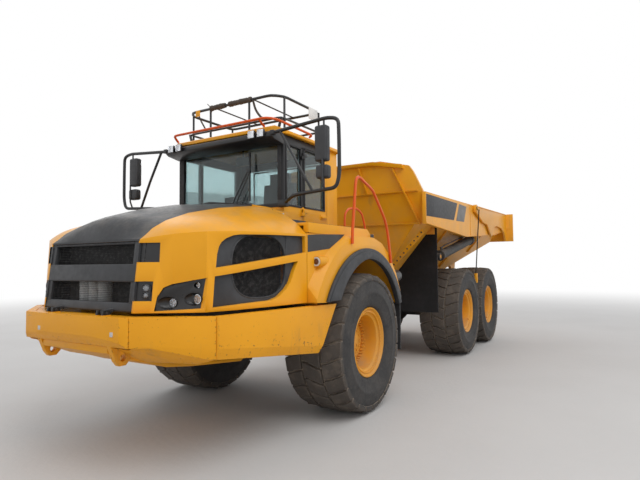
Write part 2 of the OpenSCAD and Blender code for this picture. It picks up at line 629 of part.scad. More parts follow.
// Hitch between the two frames
roll_z = 1010;
roll_front = -1400;
roll_back = -1760;
module hitch() vehicle() color(steel) {
    translate([hitch_x, 0, ear_low + ear_t + 5]) cylinder(h = ear_high - ear_low - ear_t - 10, r = ear_r - 5);
    translate([hitch_x, 0, ear_low]) cylinder(h = ear_high - ear_low + ear_t, r = hitch_pin_r - gap);
    intersection() {
        section([[-170, ear_low + 90], [170, ear_low + 90], [170, ear_high - 30], [-170, ear_high - 30]], roll_front, hitch_x - roll_front);
        plan([[roll_front, -170], [roll_front, 170], [hitch_x, 110], [hitch_x, -110]], 0, 3000);
    }
    translate([roll_back, 0, roll_z]) rotate([0, 90, 0]) cylinder(h = roll_front - roll_back + 1, r = roll_tube_r - gap);
    // Arms for the steering cylinders
    both_sides() plan([[roll_front + 10, 100], [steer_end.x - 60, steer_end.y - 60], [steer_end.x - 45, steer_end.y + 50], [steer_end.x + 45, steer_end.y + 50], [steer_end.x + 55, steer_end.y - 60],
        [hitch_x + 20, 100]], steer_z - steer_eye_h / 2 - 45, 40);
}

// Steering cylinders: [base pin on the front frame] to [rod pin on the hitch]
steer_z = 1115;
steer_base = [-250, 215];
steer_end = [-1250, 285];
steer_pin_r = 25;
steer_eye_h = 60;
steer_len = norm(steer_end - steer_base);
steer_turn = atan2(steer_end.y - steer_base.y, steer_end.x - steer_base.x);

// Drawn along X from the base pin, then laid between the pins
module laid_cylinder(side) translate([steer_base.x, side * steer_base.y, steer_z]) rotate([0, 0, side * steer_turn]) children();

module steer_barrel(side) vehicle() color(steel) laid_cylinder(side) difference() {
    union() {
        translate([0, 0, -steer_eye_h / 2]) cylinder(h = steer_eye_h, r = 45);
        translate([60, 0, 0]) rotate([0, 90, 0]) cylinder(h = 540, r = steer_r);
        rotate([0, 90, 0]) cylinder(h = 80, r = 28);
    }
    cylinder(h = 200, r = steer_pin_r + gap, center = true);
    translate([60, 0, 0]) rotate([0, 90, 0]) cylinder(h = 1000, r = 26);
}

module steer_rod(side) vehicle() color("silver") laid_cylinder(side) {
    translate([steer_len - 690, 0, 0]) rotate([0, 90, 0]) cylinder(h = 680, r = 26 - gap);
    translate([steer_len, 0, -steer_eye_h / 2 + 1]) cylinder(h = steer_eye_h, r = 42);
    translate([steer_len, 0, -steer_eye_h / 2 + 1]) cylinder(h = steer_eye_h + 15, r = steer_pin_r);
}

module steer_barrel_left() steer_barrel(1);
module steer_barrel_right() steer_barrel(-1);
module steer_rod_left() steer_rod(1);
module steer_rod_right() steer_rod(-1);

// Rear frame
frame_back = rear_end + 980;
hoist_base = [-3055, 1790];
hoist_end = [rear_end + 2220, 2190];
hoist_y = body_half - 210;
hoist_eye_w = 100;
hoist_pin_r = 32;

module rear_frame() vehicle() color(black) difference() {
    union() {
        both_sides() {
            profile([[roll_back + 60, rail_z], [frame_back, rail_z], [frame_back, rail_top], [roll_back + 60, rail_top]], rail_y - rail_t / 2, rail_t);
            // Tipping pivot brackets
            profile([[tip_x - 130, rail_top - 1], [tip_x - 60, tip_z + 50], [tip_x + 60, tip_z + 50], [tip_x + 160, rail_top - 1]], rail_y - 35, 70);
            // Brackets that carry the hoist cylinders
            block([hoist_base.x - 90, rail_y, rail_z + 20], [hoist_base.x + 90, 1200, rail_z + 160]);
            profile([[hoist_base.x - 90, rail_z + 20], [hoist_base.x - 55, hoist_base.y + 50], [hoist_base.x + 55, hoist_base.y + 50], [hoist_base.x + 90, rail_z + 20]],
                hoist_y - hoist_eye_w / 2 - 42, 40);
            cross_bore(hoist_base.x, hoist_base.y, hoist_pin_r, hoist_y - hoist_eye_w / 2 - 3, hoist_eye_w + 8);
        }
        // Bearing housing for the roll tube
        section([[-rail_y - rail_t / 2, rail_z], [-210, roll_z - 230], [210, roll_z - 230], [rail_y + rail_t / 2, rail_z], [rail_y + rail_t / 2, rail_top],
            [-rail_y - rail_t / 2, rail_top]], roll_back + 20, 200);
        for (x = [-2400, -3000, mid_axle_x + 450, rear_axle_x + 500, frame_back + 60])
            block([x - 60, -rail_y, rail_z + 50], [x + 60, rail_y, rail_z + 220]);
        // Rear towing bracket
        block([frame_back - 30, -160, rail_z + 20], [frame_back + 61, 160, rail_z + 230]);
        for (z = [rail_z + 60, rail_z + 160]) plan([[frame_back - 29, -100], [frame_back - 150, -60], [frame_back - 150, 60], [frame_back - 29, 100]], z, 30);
    }
    translate([roll_back - 100, 0, roll_z]) rotate([0, 90, 0]) cylinder(h = 500, r = roll_tube_r);
    both_sides() cross_bore(tip_x, tip_z, tip_pin_r, rail_y - 100, 200);
    translate([frame_back - 95, 0, rail_z]) cylinder(h = 300, r = 25);
}

module bogie_axles() vehicle() color(black) for (x = [mid_axle_x, rear_axle_x]) translate([x, 0, 0]) {
    axle_beam();
    // Axle stays to the frame
    both_sides() tube([0, 300, hub_z + 40], [360, 330, rail_z - 40], 35);
    both_sides() block([300, 310, rail_z - 100], [400, 350, rail_z - gap]);
}

module bogie_beams() vehicle() color(black) both_sides() {
    mid = (mid_axle_x + rear_axle_x) / 2;
    profile([[mid_axle_x + 110, hub_z + axle_tube_r + 2], [mid_axle_x - 110, hub_z + axle_tube_r + 2], [mid + 150, 800], [mid - 150, 800],
        [rear_axle_x + 110, hub_z + axle_tube_r + 2], [rear_axle_x - 110, hub_z + axle_tube_r + 2], [rear_axle_x - 110, hub_z + axle_tube_r + 60],
        [mid - 150, 1000], [mid + 150, 1000], [mid_axle_x + 110, hub_z + axle_tube_r + 60]], 500, 110);
    cross_bore(mid, 900, 70, rail_y - 20, 130);
    block([mid - 80, rail_y - 40, 830], [mid + 80, rail_y + 40, rail_z - gap]);
}

module rear_lamps() vehicle() color("red") both_sides()
    block([frame_back - 60, rail_y + 10, rail_top - 180], [frame_back - gap, rail_y + rail_t / 2 + 180, rail_top - 60]);

// Load body
side_front = -1900;
knee_x = rear_end + 2320;
lip_x = rear_end + 120;
v_top = 2540;
head_low = [-2330, 1660];
head_high = [-1740, headboard_top];
// Left edge of the headboard, from the sides up to its level top
headboard_edge = [[body_half - 50, 2300], [body_half - 50, side_top_front + 20], [body_half - 160, headboard_top - 180],
    [body_half - 210, headboard_top - 100], [800, headboard_top]];
function head_x(z) = head_low.x + (head_high.x - head_low.x) * (z - head_low.y) / (head_high.y - head_low.y);

module dump_body() vehicle() color(yellow) difference() {
    union() {
        difference() {
            intersection() {
                profile([[head_x(side_top_front), side_top_front], [head_x(floor_z + 180), floor_z + 180], [-2480, floor_z], [knee_x, floor_z], [lip_x, lip_z],
                    [lip_x, side_top_rear]], -body_half, 2 * body_half);
                section([[body_half - 40, 4000], [body_half - 40, v_top], [floor_half, floor_z], [-floor_half, floor_z], [-body_half + 40, v_top], [-body_half + 40, 4000]],
                    -9000, 8000);
            }
            intersection() {
                profile([[head_x(4000) - body_wall, 4000], [head_x(floor_z + 180) - body_wall, floor_z + 180 + body_wall / 2], [-2480 - body_wall, floor_z + body_wall], [knee_x, floor_z + body_wall],
                    [lip_x - 300, lip_z + body_wall + 300 * (lip_z - floor_z) / (knee_x - lip_x)], [lip_x - 300, 4000]], -body_half, 2 * body_half);
                section([[body_half - 97, 4000], [body_half - 97, v_top + 20], [floor_half - 20, floor_z], [-floor_half + 20, floor_z], [-body_half + 97, v_top + 20], [-body_half + 97, 4000]],
                    -9000, 8000);
            }
        }
        // Side rails outside the walls
        both_sides() {
            profile([[side_front, 2265], [side_front, side_top_front - 3], [lip_x, side_top_rear], [lip_x, lip_z + 259], [lip_x + 1000, lip_z + 119], [-4100, 2160]], body_half - 41, 41);
        }
        // Headboard above the sides
        intersection() {
            profile([[head_x(2300), 2300], [head_x(headboard_top), headboard_top], [head_x(headboard_top) - 60, headboard_top], [head_x(2300) - 60, 2300]], -body_half, 2 * body_half);
            section(concat(headboard_edge, reversed([for (p = headboard_edge) [-p.x, p.y]])), -3000, 2000);
        }
        // Runners that rest on the frame, and the tipping ears
        both_sides() {
            block([knee_x, rail_y - 40, rail_top + 0.5], [-2700, rail_y + 40, floor_z + 1]);
            profile([[tip_x - 60, tip_z - 60], [tip_x - 200, 1990], [tip_x + 420, 1760], [tip_x + 60, tip_z - 60]], rail_y + 40, 60);
            cross_bore(tip_x, tip_z, tip_pin_r - gap, rail_y - 60, 130);
            // Hoist pin brackets
            profile([[hoist_end.x - 80, hoist_end.y - 70], [hoist_end.x - 120, 2500], [hoist_end.x + 120, 2500], [hoist_end.x + 80, hoist_end.y - 70]],
                hoist_y + hoist_eye_w / 2 + 6, 45);
        }
    }
    both_sides() cross_bore(gate_pivot.x, gate_pivot.y, gate_pin_r + 0.05, body_half - 80, 200);
}

// Height of the body's slanting wall at y
function v_z(y) = floor_z + (y - floor_half) * (v_top - floor_z) / (body_half - 40 - floor_half);

module body_mudflaps() vehicle() color(black) both_sides()
    section([[560, 860], [1280, 860], [1280, v_z(1280) - 0.5], [560, v_z(560) - 0.5]], -2925, 25);

gate_pivot = [rear_end + 2920, side_top_front - 8];
gate_pin_r = 35;
gate_top = side_top_rear - 6;
gate_low = lip_z + 9;
module tailgate() vehicle() color(yellow) {
    both_sides() {
        profile([[gate_pivot.x + 90, gate_pivot.y - 70], [gate_pivot.x + 80, gate_pivot.y + 50], [gate_pivot.x - 100, gate_pivot.y + 55], [lip_x, gate_top], [rear_end + 20, gate_top],
            [rear_end + 20, gate_low], [rear_end + 130, gate_low], [rear_end + 312, 2393], [rear_end + 609, 2485], [rear_end + 1176, 2502], [rear_end + 1363, 2462],
            [rear_end + 1654, 2232], [rear_end + 2034, 2480], [rear_end + 2348, 2496]], body_half + 12, 40);
        cross_bore(gate_pivot.x, gate_pivot.y, gate_pin_r, body_half - 70, 150);
    }
    block([rear_end, -gate_half, gate_low], [rear_end + 60, gate_half, gate_top]);
}

// Hoist cylinders
hoist_len = norm(hoist_end - hoist_base);
hoist_rise = atan2(hoist_end.y - hoist_base.y, hoist_base.x - hoist_end.x);

module laid_hoist(side) translate([hoist_base.x, side * hoist_y, hoist_base.y]) rotate([0, hoist_rise - 180, 0]) mirror([0, 0, 1]) children();

module hoist_barrel(side) vehicle() color(steel) laid_hoist(side) difference() {
    union() {
        cross_bore(0, 0, 60, -hoist_eye_w / 2, hoist_eye_w);
        translate([90, 0, 0]) rotate([0, 90, 0]) cylinder(h = hoist_len - 390, r = hoist_r);
        translate([40, 0, 0]) rotate([0, 90, 0]) cylinder(h = 60, r = 45);
    }
    cross_bore(0, 0, hoist_pin_r + gap, -200, 400);
    translate([120, 0, 0]) rotate([0, 90, 0]) cylinder(h = 3000, r = 46);
}

module hoist_rod(side) vehicle() color("silver") laid_hoist(side) {
    translate([140, 0, 0]) rotate([0, 90, 0]) cylinder(h = hoist_len - 180, r = 46 - gap);
    cross_bore(hoist_len, 0, 62, -hoist_eye_w / 2, hoist_eye_w);
}

module hoist_barrel_left() hoist_barrel(1);
module hoist_barrel_right() hoist_barrel(-1);
module hoist_rod_left() hoist_rod(1);
module hoist_rod_right() hoist_rod(-1);

// Wheels, drawn about the Y axis with the outer side at +Y
flange_r = rim_r + 76;
bead_half = 298;
// Half outline of the tyre, as [radius, half width]
tyre_half = [[rim_r + gap, bead_half], [flange_r + 3, bead_half], [flange_r + 22, bead_half + 34], [480, tyre_w / 2 - 14], [560, tyre_w / 2], [640, tyre_w / 2 - 4],
    [tyre_r - 62, tyre_w / 2 - 16], [tyre_r - 14, tyre_w / 2 - 46], [tyre_r, tyre_w / 2 - 92]];

module turned(points) rotate([-90, 0, 0]) rotate_extrude($fn = 96) polygon(points);

module tyre() color("darkslategray") turned(concat(tyre_half, reversed([for (p = tyre_half) [p.x, -p.y]])));

module rim() color(yellow) {
    // Rim barrel with flanges, dished centre and hub: [radius, place along the axle]
    turned([[rim_r - 16, -bead_half - 12], [flange_r, -bead_half - 12], [flange_r, -bead_half - 1], [rim_r, -bead_half - 1], [rim_r, bead_half + 1], [flange_r, bead_half + 1], [flange_r, bead_half + 14],
        [rim_r - 16, bead_half + 14], [rim_r - 16, -20], [235, -45], [235, 90], [215, 110], [160, 120], [150, 175], [0, 182], [0, 62], [spindle_r + gap, 62],
        [spindle_r + gap, -75], [250, -75], [rim_r - 16, -50]]);
}

module wheel_at(x, side) vehicle() translate([x, side * wheel_y, hub_z]) rotate([0, 0, side > 0 ? 0 : 180]) children();

module tyre_front_left() wheel_at(0, 1) tyre();
module tyre_front_right() wheel_at(0, -1) tyre();
module tyre_mid_left() wheel_at(mid_axle_x, 1) tyre();
module tyre_mid_right() wheel_at(mid_axle_x, -1) tyre();
module tyre_rear_left() wheel_at(rear_axle_x, 1) tyre();
module tyre_rear_right() wheel_at(rear_axle_x, -1) tyre();
module rim_front_left() wheel_at(0, 1) rim();
module rim_front_right() wheel_at(0, -1) rim();
module rim_mid_left() wheel_at(mid_axle_x, 1) rim();
module rim_mid_right() wheel_at(mid_axle_x, -1) rim();
module rim_rear_left() wheel_at(rear_axle_x, 1) rim();
module rim_rear_right() wheel_at(rear_axle_x, -1) rim();

front_frame();
engine_block();
cooling_pack();
front_axle();
bumper();
skid_plate();
left_fender();
right_fender();
arch_flares();
front_mudflaps();
cab_shell();
cab_roof();
cab_glass();
sun_visor();
work_lamps();
cab_interior();
mirrors();
roof_rail();
handrails();
access_steps();
side_tanks();
hood_shell();
grille();
hood_mesh();
head_lamps();
cab_door();
door_glass();
hitch();
steer_barrel_left();
steer_barrel_right();
steer_rod_left();
steer_rod_right();
rear_frame();
bogie_axles();
bogie_beams();
rear_lamps();
dump_body();
body_mudflaps();
tailgate();
hoist_barrel_left();
hoist_barrel_right();
hoist_rod_left();
hoist_rod_right();
tyre_front_left();
tyre_front_right();
tyre_mid_left();
tyre_mid_right();
tyre_rear_left();
tyre_rear_right();
rim_front_left();
rim_front_right();
rim_mid_left();
rim_mid_right();
rim_rear_left();
rim_rear_right();
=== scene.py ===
"""Articulated dump truck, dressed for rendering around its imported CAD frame."""
import math
import random
from contextlib import contextmanager

import bpy
from mathutils import Matrix, Vector


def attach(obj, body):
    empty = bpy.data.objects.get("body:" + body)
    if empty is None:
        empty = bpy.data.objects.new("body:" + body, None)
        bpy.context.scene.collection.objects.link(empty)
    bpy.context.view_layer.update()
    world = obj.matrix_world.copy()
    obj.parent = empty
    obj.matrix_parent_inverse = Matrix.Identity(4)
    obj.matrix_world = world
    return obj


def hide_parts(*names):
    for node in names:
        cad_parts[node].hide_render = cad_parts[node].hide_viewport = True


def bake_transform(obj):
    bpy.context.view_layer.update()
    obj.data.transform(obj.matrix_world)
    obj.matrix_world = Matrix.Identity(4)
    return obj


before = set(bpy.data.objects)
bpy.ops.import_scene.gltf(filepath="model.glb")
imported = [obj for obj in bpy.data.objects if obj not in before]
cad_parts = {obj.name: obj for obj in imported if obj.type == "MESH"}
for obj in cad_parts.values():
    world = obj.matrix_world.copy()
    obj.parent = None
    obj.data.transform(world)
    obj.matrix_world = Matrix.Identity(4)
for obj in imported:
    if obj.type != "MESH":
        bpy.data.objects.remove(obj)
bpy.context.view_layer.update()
random.seed(7)

# The pieces are modelled with x = 0 at the front axle and moved forward by this at the end
AXLE_X = 2.43
HUB_Z = 0.79
TRACK_HALF = 1.108
AXLES = {"front": 0.0, "mid": -4.173, "rear": -5.843}
SIDES = {"left": 1, "right": -1}


# Camera

CAMERA_AT = (5.171, 3.919, 1.687)
CAMERA_TURN = (-148.65, 2.74, -0.53)
LENS = 27.93


def place_camera():
    yaw, pitch, roll = (math.radians(a) for a in CAMERA_TURN)
    ahead = Vector((math.cos(pitch) * math.cos(yaw), math.cos(pitch) * math.sin(yaw), math.sin(pitch)))
    right = Vector((math.sin(yaw), -math.cos(yaw), 0))
    up = right.cross(ahead)
    right, up = (math.cos(roll) * right + math.sin(roll) * up,
                 math.cos(roll) * up - math.sin(roll) * right)
    data = bpy.data.cameras.new("photo_camera")
    data.sensor_fit = "HORIZONTAL"
    data.sensor_width = 36
    data.lens = LENS
    data.clip_end = 200
    camera = bpy.data.objects.new("photo_camera", data)
    bpy.context.scene.collection.objects.link(camera)
    turn = Matrix((right, up, -ahead)).transposed().to_4x4()
    camera.matrix_world = Matrix.Translation((AXLE_X, 0, 0)) @ Matrix.Translation(CAMERA_AT) @ turn
    bpy.context.scene.camera = camera


# Materials

class Finish:
    """A procedural material that is built up node by node."""

    def __init__(self, name, colour, roughness=0.5, metallic=0.0, coat=0.0, specular=0.5):
        self.material = bpy.data.materials.new(name)
        self.material.use_nodes = True
        self.nodes = self.material.node_tree.nodes
        self.links = self.material.node_tree.links
        self.shader = self.nodes["Principled BSDF"]
        self.shader.inputs["Metallic"].default_value = metallic
        self.shader.inputs["Coat Weight"].default_value = coat
        self.shader.inputs["Coat Roughness"].default_value = 0.12
        self.shader.inputs["Specular IOR Level"].default_value = specular
        self.shader.inputs["Roughness"].default_value = roughness
        self.place = self.nodes.new("ShaderNodeTexCoord").outputs["Object"]
        self.colour = colour
        self.roughness = None
        self.normal = None

    def noise(self, scale, detail=4, rough=0.55, stretch=None):
        node = self.nodes.new("ShaderNodeTexNoise")
        node.inputs["Scale"].default_value = scale
        node.inputs["Detail"].default_value = detail
        node.inputs["Roughness"].default_value = rough
        place = self.place
        if stretch:
            mapping = self.nodes.new("ShaderNodeMapping")
            mapping.inputs["Scale"].default_value = stretch
            self.links.new(place, mapping.inputs["Vector"])
            place = mapping.outputs[0]
        self.links.new(place, node.inputs["Vector"])
        return node.outputs["Fac"]

    def ramp(self, value, low, high, start=0.0, end=1.0):
        node = self.nodes.new("ShaderNodeMapRange")
        node.inputs["From Min"].default_value = low
        node.inputs["From Max"].default_value = high
        node.inputs["To Min"].default_value = start
        node.inputs["To Max"].default_value = end
        node.interpolation_type = "SMOOTHSTEP"
        self.links.new(value, node.inputs["Value"])
        return node.outputs["Result"]

    def calc(self, operation, a, b=0.0):
        node = self.nodes.new("ShaderNodeMath")
        node.operation = operation
        for socket, value in zip(node.inputs, (a, b)):
            if isinstance(value, (int, float)):
                socket.default_value = value
            else:
                self.links.new(value, socket)
        return node.outputs[0]

    def above(self, value, at, soft=0.001):
        """1 where the value is above this place, with a soft border."""
        return self.ramp(value, at - soft, at + soft)

    def below(self, value, at, soft=0.001):
        return self.ramp(value, at + soft, at - soft)

    def times(self, a, b):
        return self.calc("MULTIPLY", a, b)

    def patches(self, low, high, *noise):
        """Soft patches of noise, 0 below low and 1 above high."""
        return self.ramp(self.noise(*noise), low, high)

    def axis(self, name):
        return self.parts(self.place).outputs[name]

    def parts(self, vector):
        node = self.nodes.new("ShaderNodeSeparateXYZ")
        self.links.new(vector, node.inputs[0])
        return node

    def facing(self):
        """The way each face looks, as its three parts."""
        return self.parts(self.nodes.new("ShaderNodeNewGeometry").outputs["Normal"]).outputs

    def attribute(self, name):
        node = self.nodes.new("ShaderNodeAttribute")
        node.attribute_name = name
        return node.outputs["Fac"]

    def edges(self, radius=0.012):
        """1 near the edges of the piece, 0 on its flat places."""
        bevel = self.nodes.new("ShaderNodeBevel")
        bevel.samples = 4
        bevel.inputs["Radius"].default_value = radius
        geometry = self.nodes.new("ShaderNodeNewGeometry")
        dot = self.nodes.new("ShaderNodeVectorMath")
        dot.operation = "DOT_PRODUCT"
        self.links.new(bevel.outputs[0], dot.inputs[0])
        self.links.new(geometry.outputs["Normal"], dot.inputs[1])
        return self.ramp(dot.outputs["Value"], 0.995, 0.9)

    def worn_edges(self, radius, *patches):
        """Parts of the edges, where the patches meet them."""
        return self.times(self.edges(radius), self.patches(*patches))

    def upward(self):
        """1 on faces that look up, 0 on upright ones."""
        return self.ramp(self.facing()["Z"], 0.35, 0.95)

    def dusty_tops(self, *patches):
        return self.times(self.upward(), self.patches(*patches))

    def tint(self, mask, colour, amount=1.0):
        """Covers the colour so far with another one where the mask is 1."""
        node = self.nodes.new("ShaderNodeMix")
        node.data_type = "RGBA"
        self.links.new(self.times(mask, amount), node.inputs["Factor"])
        if isinstance(self.colour, tuple):
            node.inputs["A"].default_value = (*self.colour, 1)
        else:
            self.links.new(self.colour, node.inputs["A"])
        node.inputs["B"].default_value = (*colour, 1)
        self.colour = node.outputs["Result"]

    def clear(self, share):
        """Glass that lets this share of the light through."""
        self.shader.inputs["Transmission Weight"].default_value = share
        self.shader.inputs["IOR"].default_value = 1.45

    def rough(self, mask, low, high):
        self.roughness = self.ramp(mask, 0, 1, low, high)

    def bump(self, height, depth):
        node = self.nodes.new("ShaderNodeBump")
        node.inputs["Strength"].default_value = 1.0
        node.inputs["Distance"].default_value = depth
        self.links.new(height, node.inputs["Height"])
        if self.normal is not None:
            self.links.new(self.normal, node.inputs["Normal"])
        self.normal = node.outputs[0]

    def done(self):
        if isinstance(self.colour, tuple):
            self.shader.inputs["Base Color"].default_value = (*self.colour, 1)
        else:
            self.links.new(self.colour, self.shader.inputs["Base Color"])
        if self.roughness is not None:
            self.links.new(self.roughness, self.shader.inputs["Roughness"])
        if self.normal is not None:
            self.links.new(self.normal, self.shader.inputs["Normal"])
        return self.material


YELLOW = (0.87, 0.375, 0.008)
YELLOW_SHADE = (0.68, 0.26, 0.006)
CHARCOAL = (0.030, 0.031, 0.034)
DUST = (0.33, 0.27, 0.21)
MUD = (0.16, 0.115, 0.08)
RUST = (0.16, 0.055, 0.02)


def enamel(name, colour, shade=0.86, coat=0.05):
    """A coat of paint with faint clouds of a darker tone."""
    f = Finish(name, colour, 0.38, coat=coat, specular=0.3)
    f.tint(f.patches(0.35, 0.75, 1.7, 6), tuple(c * shade for c in colour), 0.6)
    return f


def painted_steel(name, colour=YELLOW, wear=0.5, dirt=0.4, low=0.6, high=2.2):
    f = enamel(name, colour)
    fine = f.noise(38, 5)
    scuff = f.times(f.patches(0.60, 0.70, 9, 8, 0.7, (1, 1, 3)), f.patches(0.5, 0.65, 2.3, 3))
    f.tint(scuff, (0.38, 0.26, 0.12), 0.45 * wear)
    film = f.ramp(f.axis("Z"), high, low)
    f.tint(f.times(film, f.patches(0.3, 0.7, 3.1, 7)), DUST, 0.5 * dirt)
    f.tint(f.dusty_tops(0.35, 0.75, 6, 6), DUST, 0.6 * dirt)
    streak = f.times(f.patches(0.58, 0.75, 7, 4, 0.5, (1, 1, 0.07)), f.patches(0.4, 0.6, 1.3, 2))
    f.tint(streak, MUD, 0.35 * dirt)
    chips = f.worn_edges(0.008, 0.52, 0.60, 55, 4)
    f.tint(chips, RUST, 0.75 * wear)
    spots = f.times(f.patches(0.70, 0.74, 70, 3), f.patches(0.5, 0.62, 4, 3))
    f.tint(spots, RUST, 0.6 * wear)
    f.rough(f.calc("ADD", f.times(fine, 0.45), f.times(film, 0.4)), 0.3, 0.62)
    f.bump(f.noise(120, 3), 0.0004)
    return f.done()


def moulded_plastic(name, colour=CHARCOAL, roughness=(0.42, 0.68), dirt=0.5):
    f = Finish(name, colour, 0.5)
    f.tint(f.patches(0.4, 0.7, 2.4, 6), tuple(c * 1.8 + 0.01 for c in colour), 0.5)
    f.tint(f.dusty_tops(0.3, 0.75, 5, 6), (0.22, 0.20, 0.18), 0.35 * dirt)
    f.tint(f.worn_edges(0.006, 0.45, 0.65, 30, 4), (0.16, 0.155, 0.15), 0.5)
    f.rough(f.noise(20, 5), *roughness)
    f.bump(f.noise(420, 2), 0.0003)
    return f.done()


def dark_steel(name, colour=(0.022, 0.021, 0.020), dirt=0.7):
    f = Finish(name, colour, 0.6)
    f.tint(f.patches(0.45, 0.7, 4, 7), MUD, 0.55 * dirt)
    f.tint(f.dusty_tops(0.35, 0.7, 9, 6), DUST, 0.6 * dirt)
    f.tint(f.worn_edges(0.006, 0.5, 0.62, 45, 4), (0.12, 0.10, 0.08), 0.6)
    f.rough(f.noise(25, 5), 0.45, 0.85)
    f.bump(f.noise(90, 4), 0.0008)
    return f.done()


def clear_glass():
    f = Finish("window_glass", (0.44, 0.54, 0.545), 0.02)
    f.clear(0.96)
    f.tint(f.patches(0.5, 0.8, 3, 6), (0.62, 0.60, 0.55), 0.25)
    f.rough(f.patches(0.45, 0.8, 5, 6), 0.015, 0.22)
    return f.done()


def tyre_rubber():
    f = Finish("tyre_rubber", (0.030, 0.029, 0.029), 0.8)
    f.tint(f.patches(0.35, 0.7, 5, 7), (0.060, 0.054, 0.050), 0.7)
    f.tint(f.patches(0.55, 0.75, 40, 6), (0.10, 0.085, 0.07), 0.4)
    f.tint(f.attribute("tread"), (0.088, 0.071, 0.057), 0.75)
    f.tint(f.times(f.attribute("tread"), f.patches(0.45, 0.7, 8, 7, 0.65)), (0.150, 0.118, 0.090), 0.6)
    f.tint(f.times(f.attribute("groove"), f.patches(0.25, 0.5, 14, 5)), (0.30, 0.24, 0.185), 0.85)
    f.tint(f.times(f.attribute("tread"), f.worn_edges(0.012, 0.4, 0.6, 20, 5)), (0.26, 0.215, 0.17), 0.6)
    f.rough(f.noise(30, 5), 0.62, 0.95)
    f.bump(f.noise(60, 6, 0.7), 0.003)
    f.bump(f.noise(260, 3), 0.0006)
    return f.done()


def shade_inside(f, centre=0.0):
    """1 on the faces of a shell that look inwards or down, where shade is painted on."""
    normal = f.facing()
    sideways = f.times(f.calc("SIGN", f.axis("Y")), normal["Y"])
    forward = f.times(f.calc("SIGN", f.calc("SUBTRACT", f.axis("X"), centre)), normal["X"])
    inside = f.calc("MAXIMUM", f.ramp(sideways, -0.3, -0.35), f.ramp(forward, -0.6, -0.65))
    return f.calc("MAXIMUM", inside, f.ramp(normal["Z"], -0.3, -0.35))


# Borders of the yellow on the hood and the cab
SEAM_Y = 0.605
GRILLE_TOP = 1.885
GLASS_LOW = 2.3355


def hood_paint():
    """Yellow sides and a dark middle, parted by a seam along the hood; painted shade inside and underneath.
    """
    f = enamel("hood_paint", YELLOW, 0.88, 0.08)
    across = f.calc("ABSOLUTE", f.axis("Y"))
    height = f.axis("Z")
    upper = f.above(height, GRILLE_TOP)
    middle = f.times(f.below(across, SEAM_Y), upper)
    f.tint(middle, CHARCOAL)
    f.tint(f.times(middle, f.patches(0.4, 0.7, 2.4, 6)), (0.062, 0.063, 0.066), 0.6)
    beside = f.calc("ABSOLUTE", f.calc("SUBTRACT", across, SEAM_Y))
    f.tint(f.times(f.ramp(beside, 0.0045, 0.002), upper), (0.004, 0.004, 0.004))
    f.tint(f.dusty_tops(0.35, 0.75, 6, 6), DUST, 0.22)
    f.tint(f.worn_edges(0.008, 0.56, 0.62, 55, 4), RUST, 0.4)
    # Painted shade: inner and downward faces near black, as the hood's inside lies in shade behind the mesh
    f.tint(shade_inside(f, 1.0), (0.010, 0.010, 0.011))
    f.rough(f.calc("ADD", f.times(f.noise(30, 5), 0.5), f.times(middle, 0.25)), 0.28, 0.7)
    f.bump(f.noise(300, 3), 0.0003)
    return f.done()


def cab_paint():
    """Yellow low down and on the rear posts, black round the glass and on the cowl's middle, with painted
    shade inside and underneath.
    """
    f = enamel("cab_paint", YELLOW, coat=0.08)
    along, height = f.axis("X"), f.axis("Z")
    black = f.times(f.above(height, GLASS_LOW, 0.0015), f.above(along, AXLE_X - 0.011))
    cowl = f.times(f.above(along, AXLE_X + 0.8005, 0.0015), f.below(f.calc("ABSOLUTE", f.axis("Y")), SEAM_Y))
    # Black round the glass and on the cowl's middle, with painted shade on the inner and downward faces
    dark = f.calc("MAXIMUM", black, f.calc("MAXIMUM", cowl, shade_inside(f, AXLE_X + 0.2)))
    f.tint(dark, (0.012, 0.012, 0.013))
    f.tint(f.times(cowl, f.patches(0.4, 0.7, 2.4, 6)), (0.050, 0.051, 0.054), 0.7)
    f.tint(f.dusty_tops(0.35, 0.75, 6, 6), DUST, 0.3)
    f.tint(f.worn_edges(0.006, 0.55, 0.62, 55, 4), RUST, 0.3)
    f.rough(f.noise(30, 5), 0.3, 0.55)
    f.bump(f.noise(300, 3), 0.0003)
    return f.done()


def bumper_paint():
    """Yellow with scrapes, rust and chips on the lower edge."""
    f = Finish("bumper_paint", YELLOW, 0.38, coat=0.05, specular=0.3)
    f.tint(f.patches(0.35, 0.75, 1.7, 6), YELLOW_SHADE, 0.35)
    height = f.axis("Z")
    low = f.ramp(height, 1.16, 1.02)
    scrape = f.times(f.patches(0.60, 0.66, 13, 8, 0.75, (0.6, 0.6, 4)), f.patches(0.46, 0.60, 1.9, 3))
    f.tint(scrape, (0.30, 0.20, 0.10), 0.6)
    f.tint(f.times(low, f.patches(0.60, 0.66, 24, 8, 0.7)), RUST, 0.8)
    spots = f.times(f.patches(0.68, 0.72, 70, 3), f.patches(0.48, 0.62, 4, 3))
    f.tint(spots, (0.05, 0.03, 0.02), 0.8)
    f.tint(f.worn_edges(0.014, 0.55, 0.62, 34, 5), (0.06, 0.035, 0.02), 0.8)
    f.tint(f.times(f.patches(0.55, 0.75, 5, 5, 0.6, (1, 1, 0.12)), low), MUD, 0.35)
    clevis = f.times(f.ramp(height, 1.2925, 1.294), f.ramp(f.calc("ABSOLUTE", f.axis("Y")), 0.43, 0.42))
    f.tint(f.times(clevis, f.ramp(f.axis("X"), AXLE_X + 2.58, AXLE_X + 2.60)), (0.020, 0.019, 0.018))
    f.rough(f.noise(38, 5), 0.3, 0.6)
    f.bump(f.noise(120, 3), 0.0004)
    return f.done()


def plain_metal(name, colour, roughness=(0.1, 0.3)):
    f = Finish(name, colour, 0.2, metallic=1.0)
    f.tint(f.patches(0.5, 0.8, 6, 6), tuple(c * 0.6 for c in colour), 0.5)
    f.rough(f.noise(24, 6), *roughness)
    f.bump(f.noise(200, 2), 0.0002)
    return f.done()


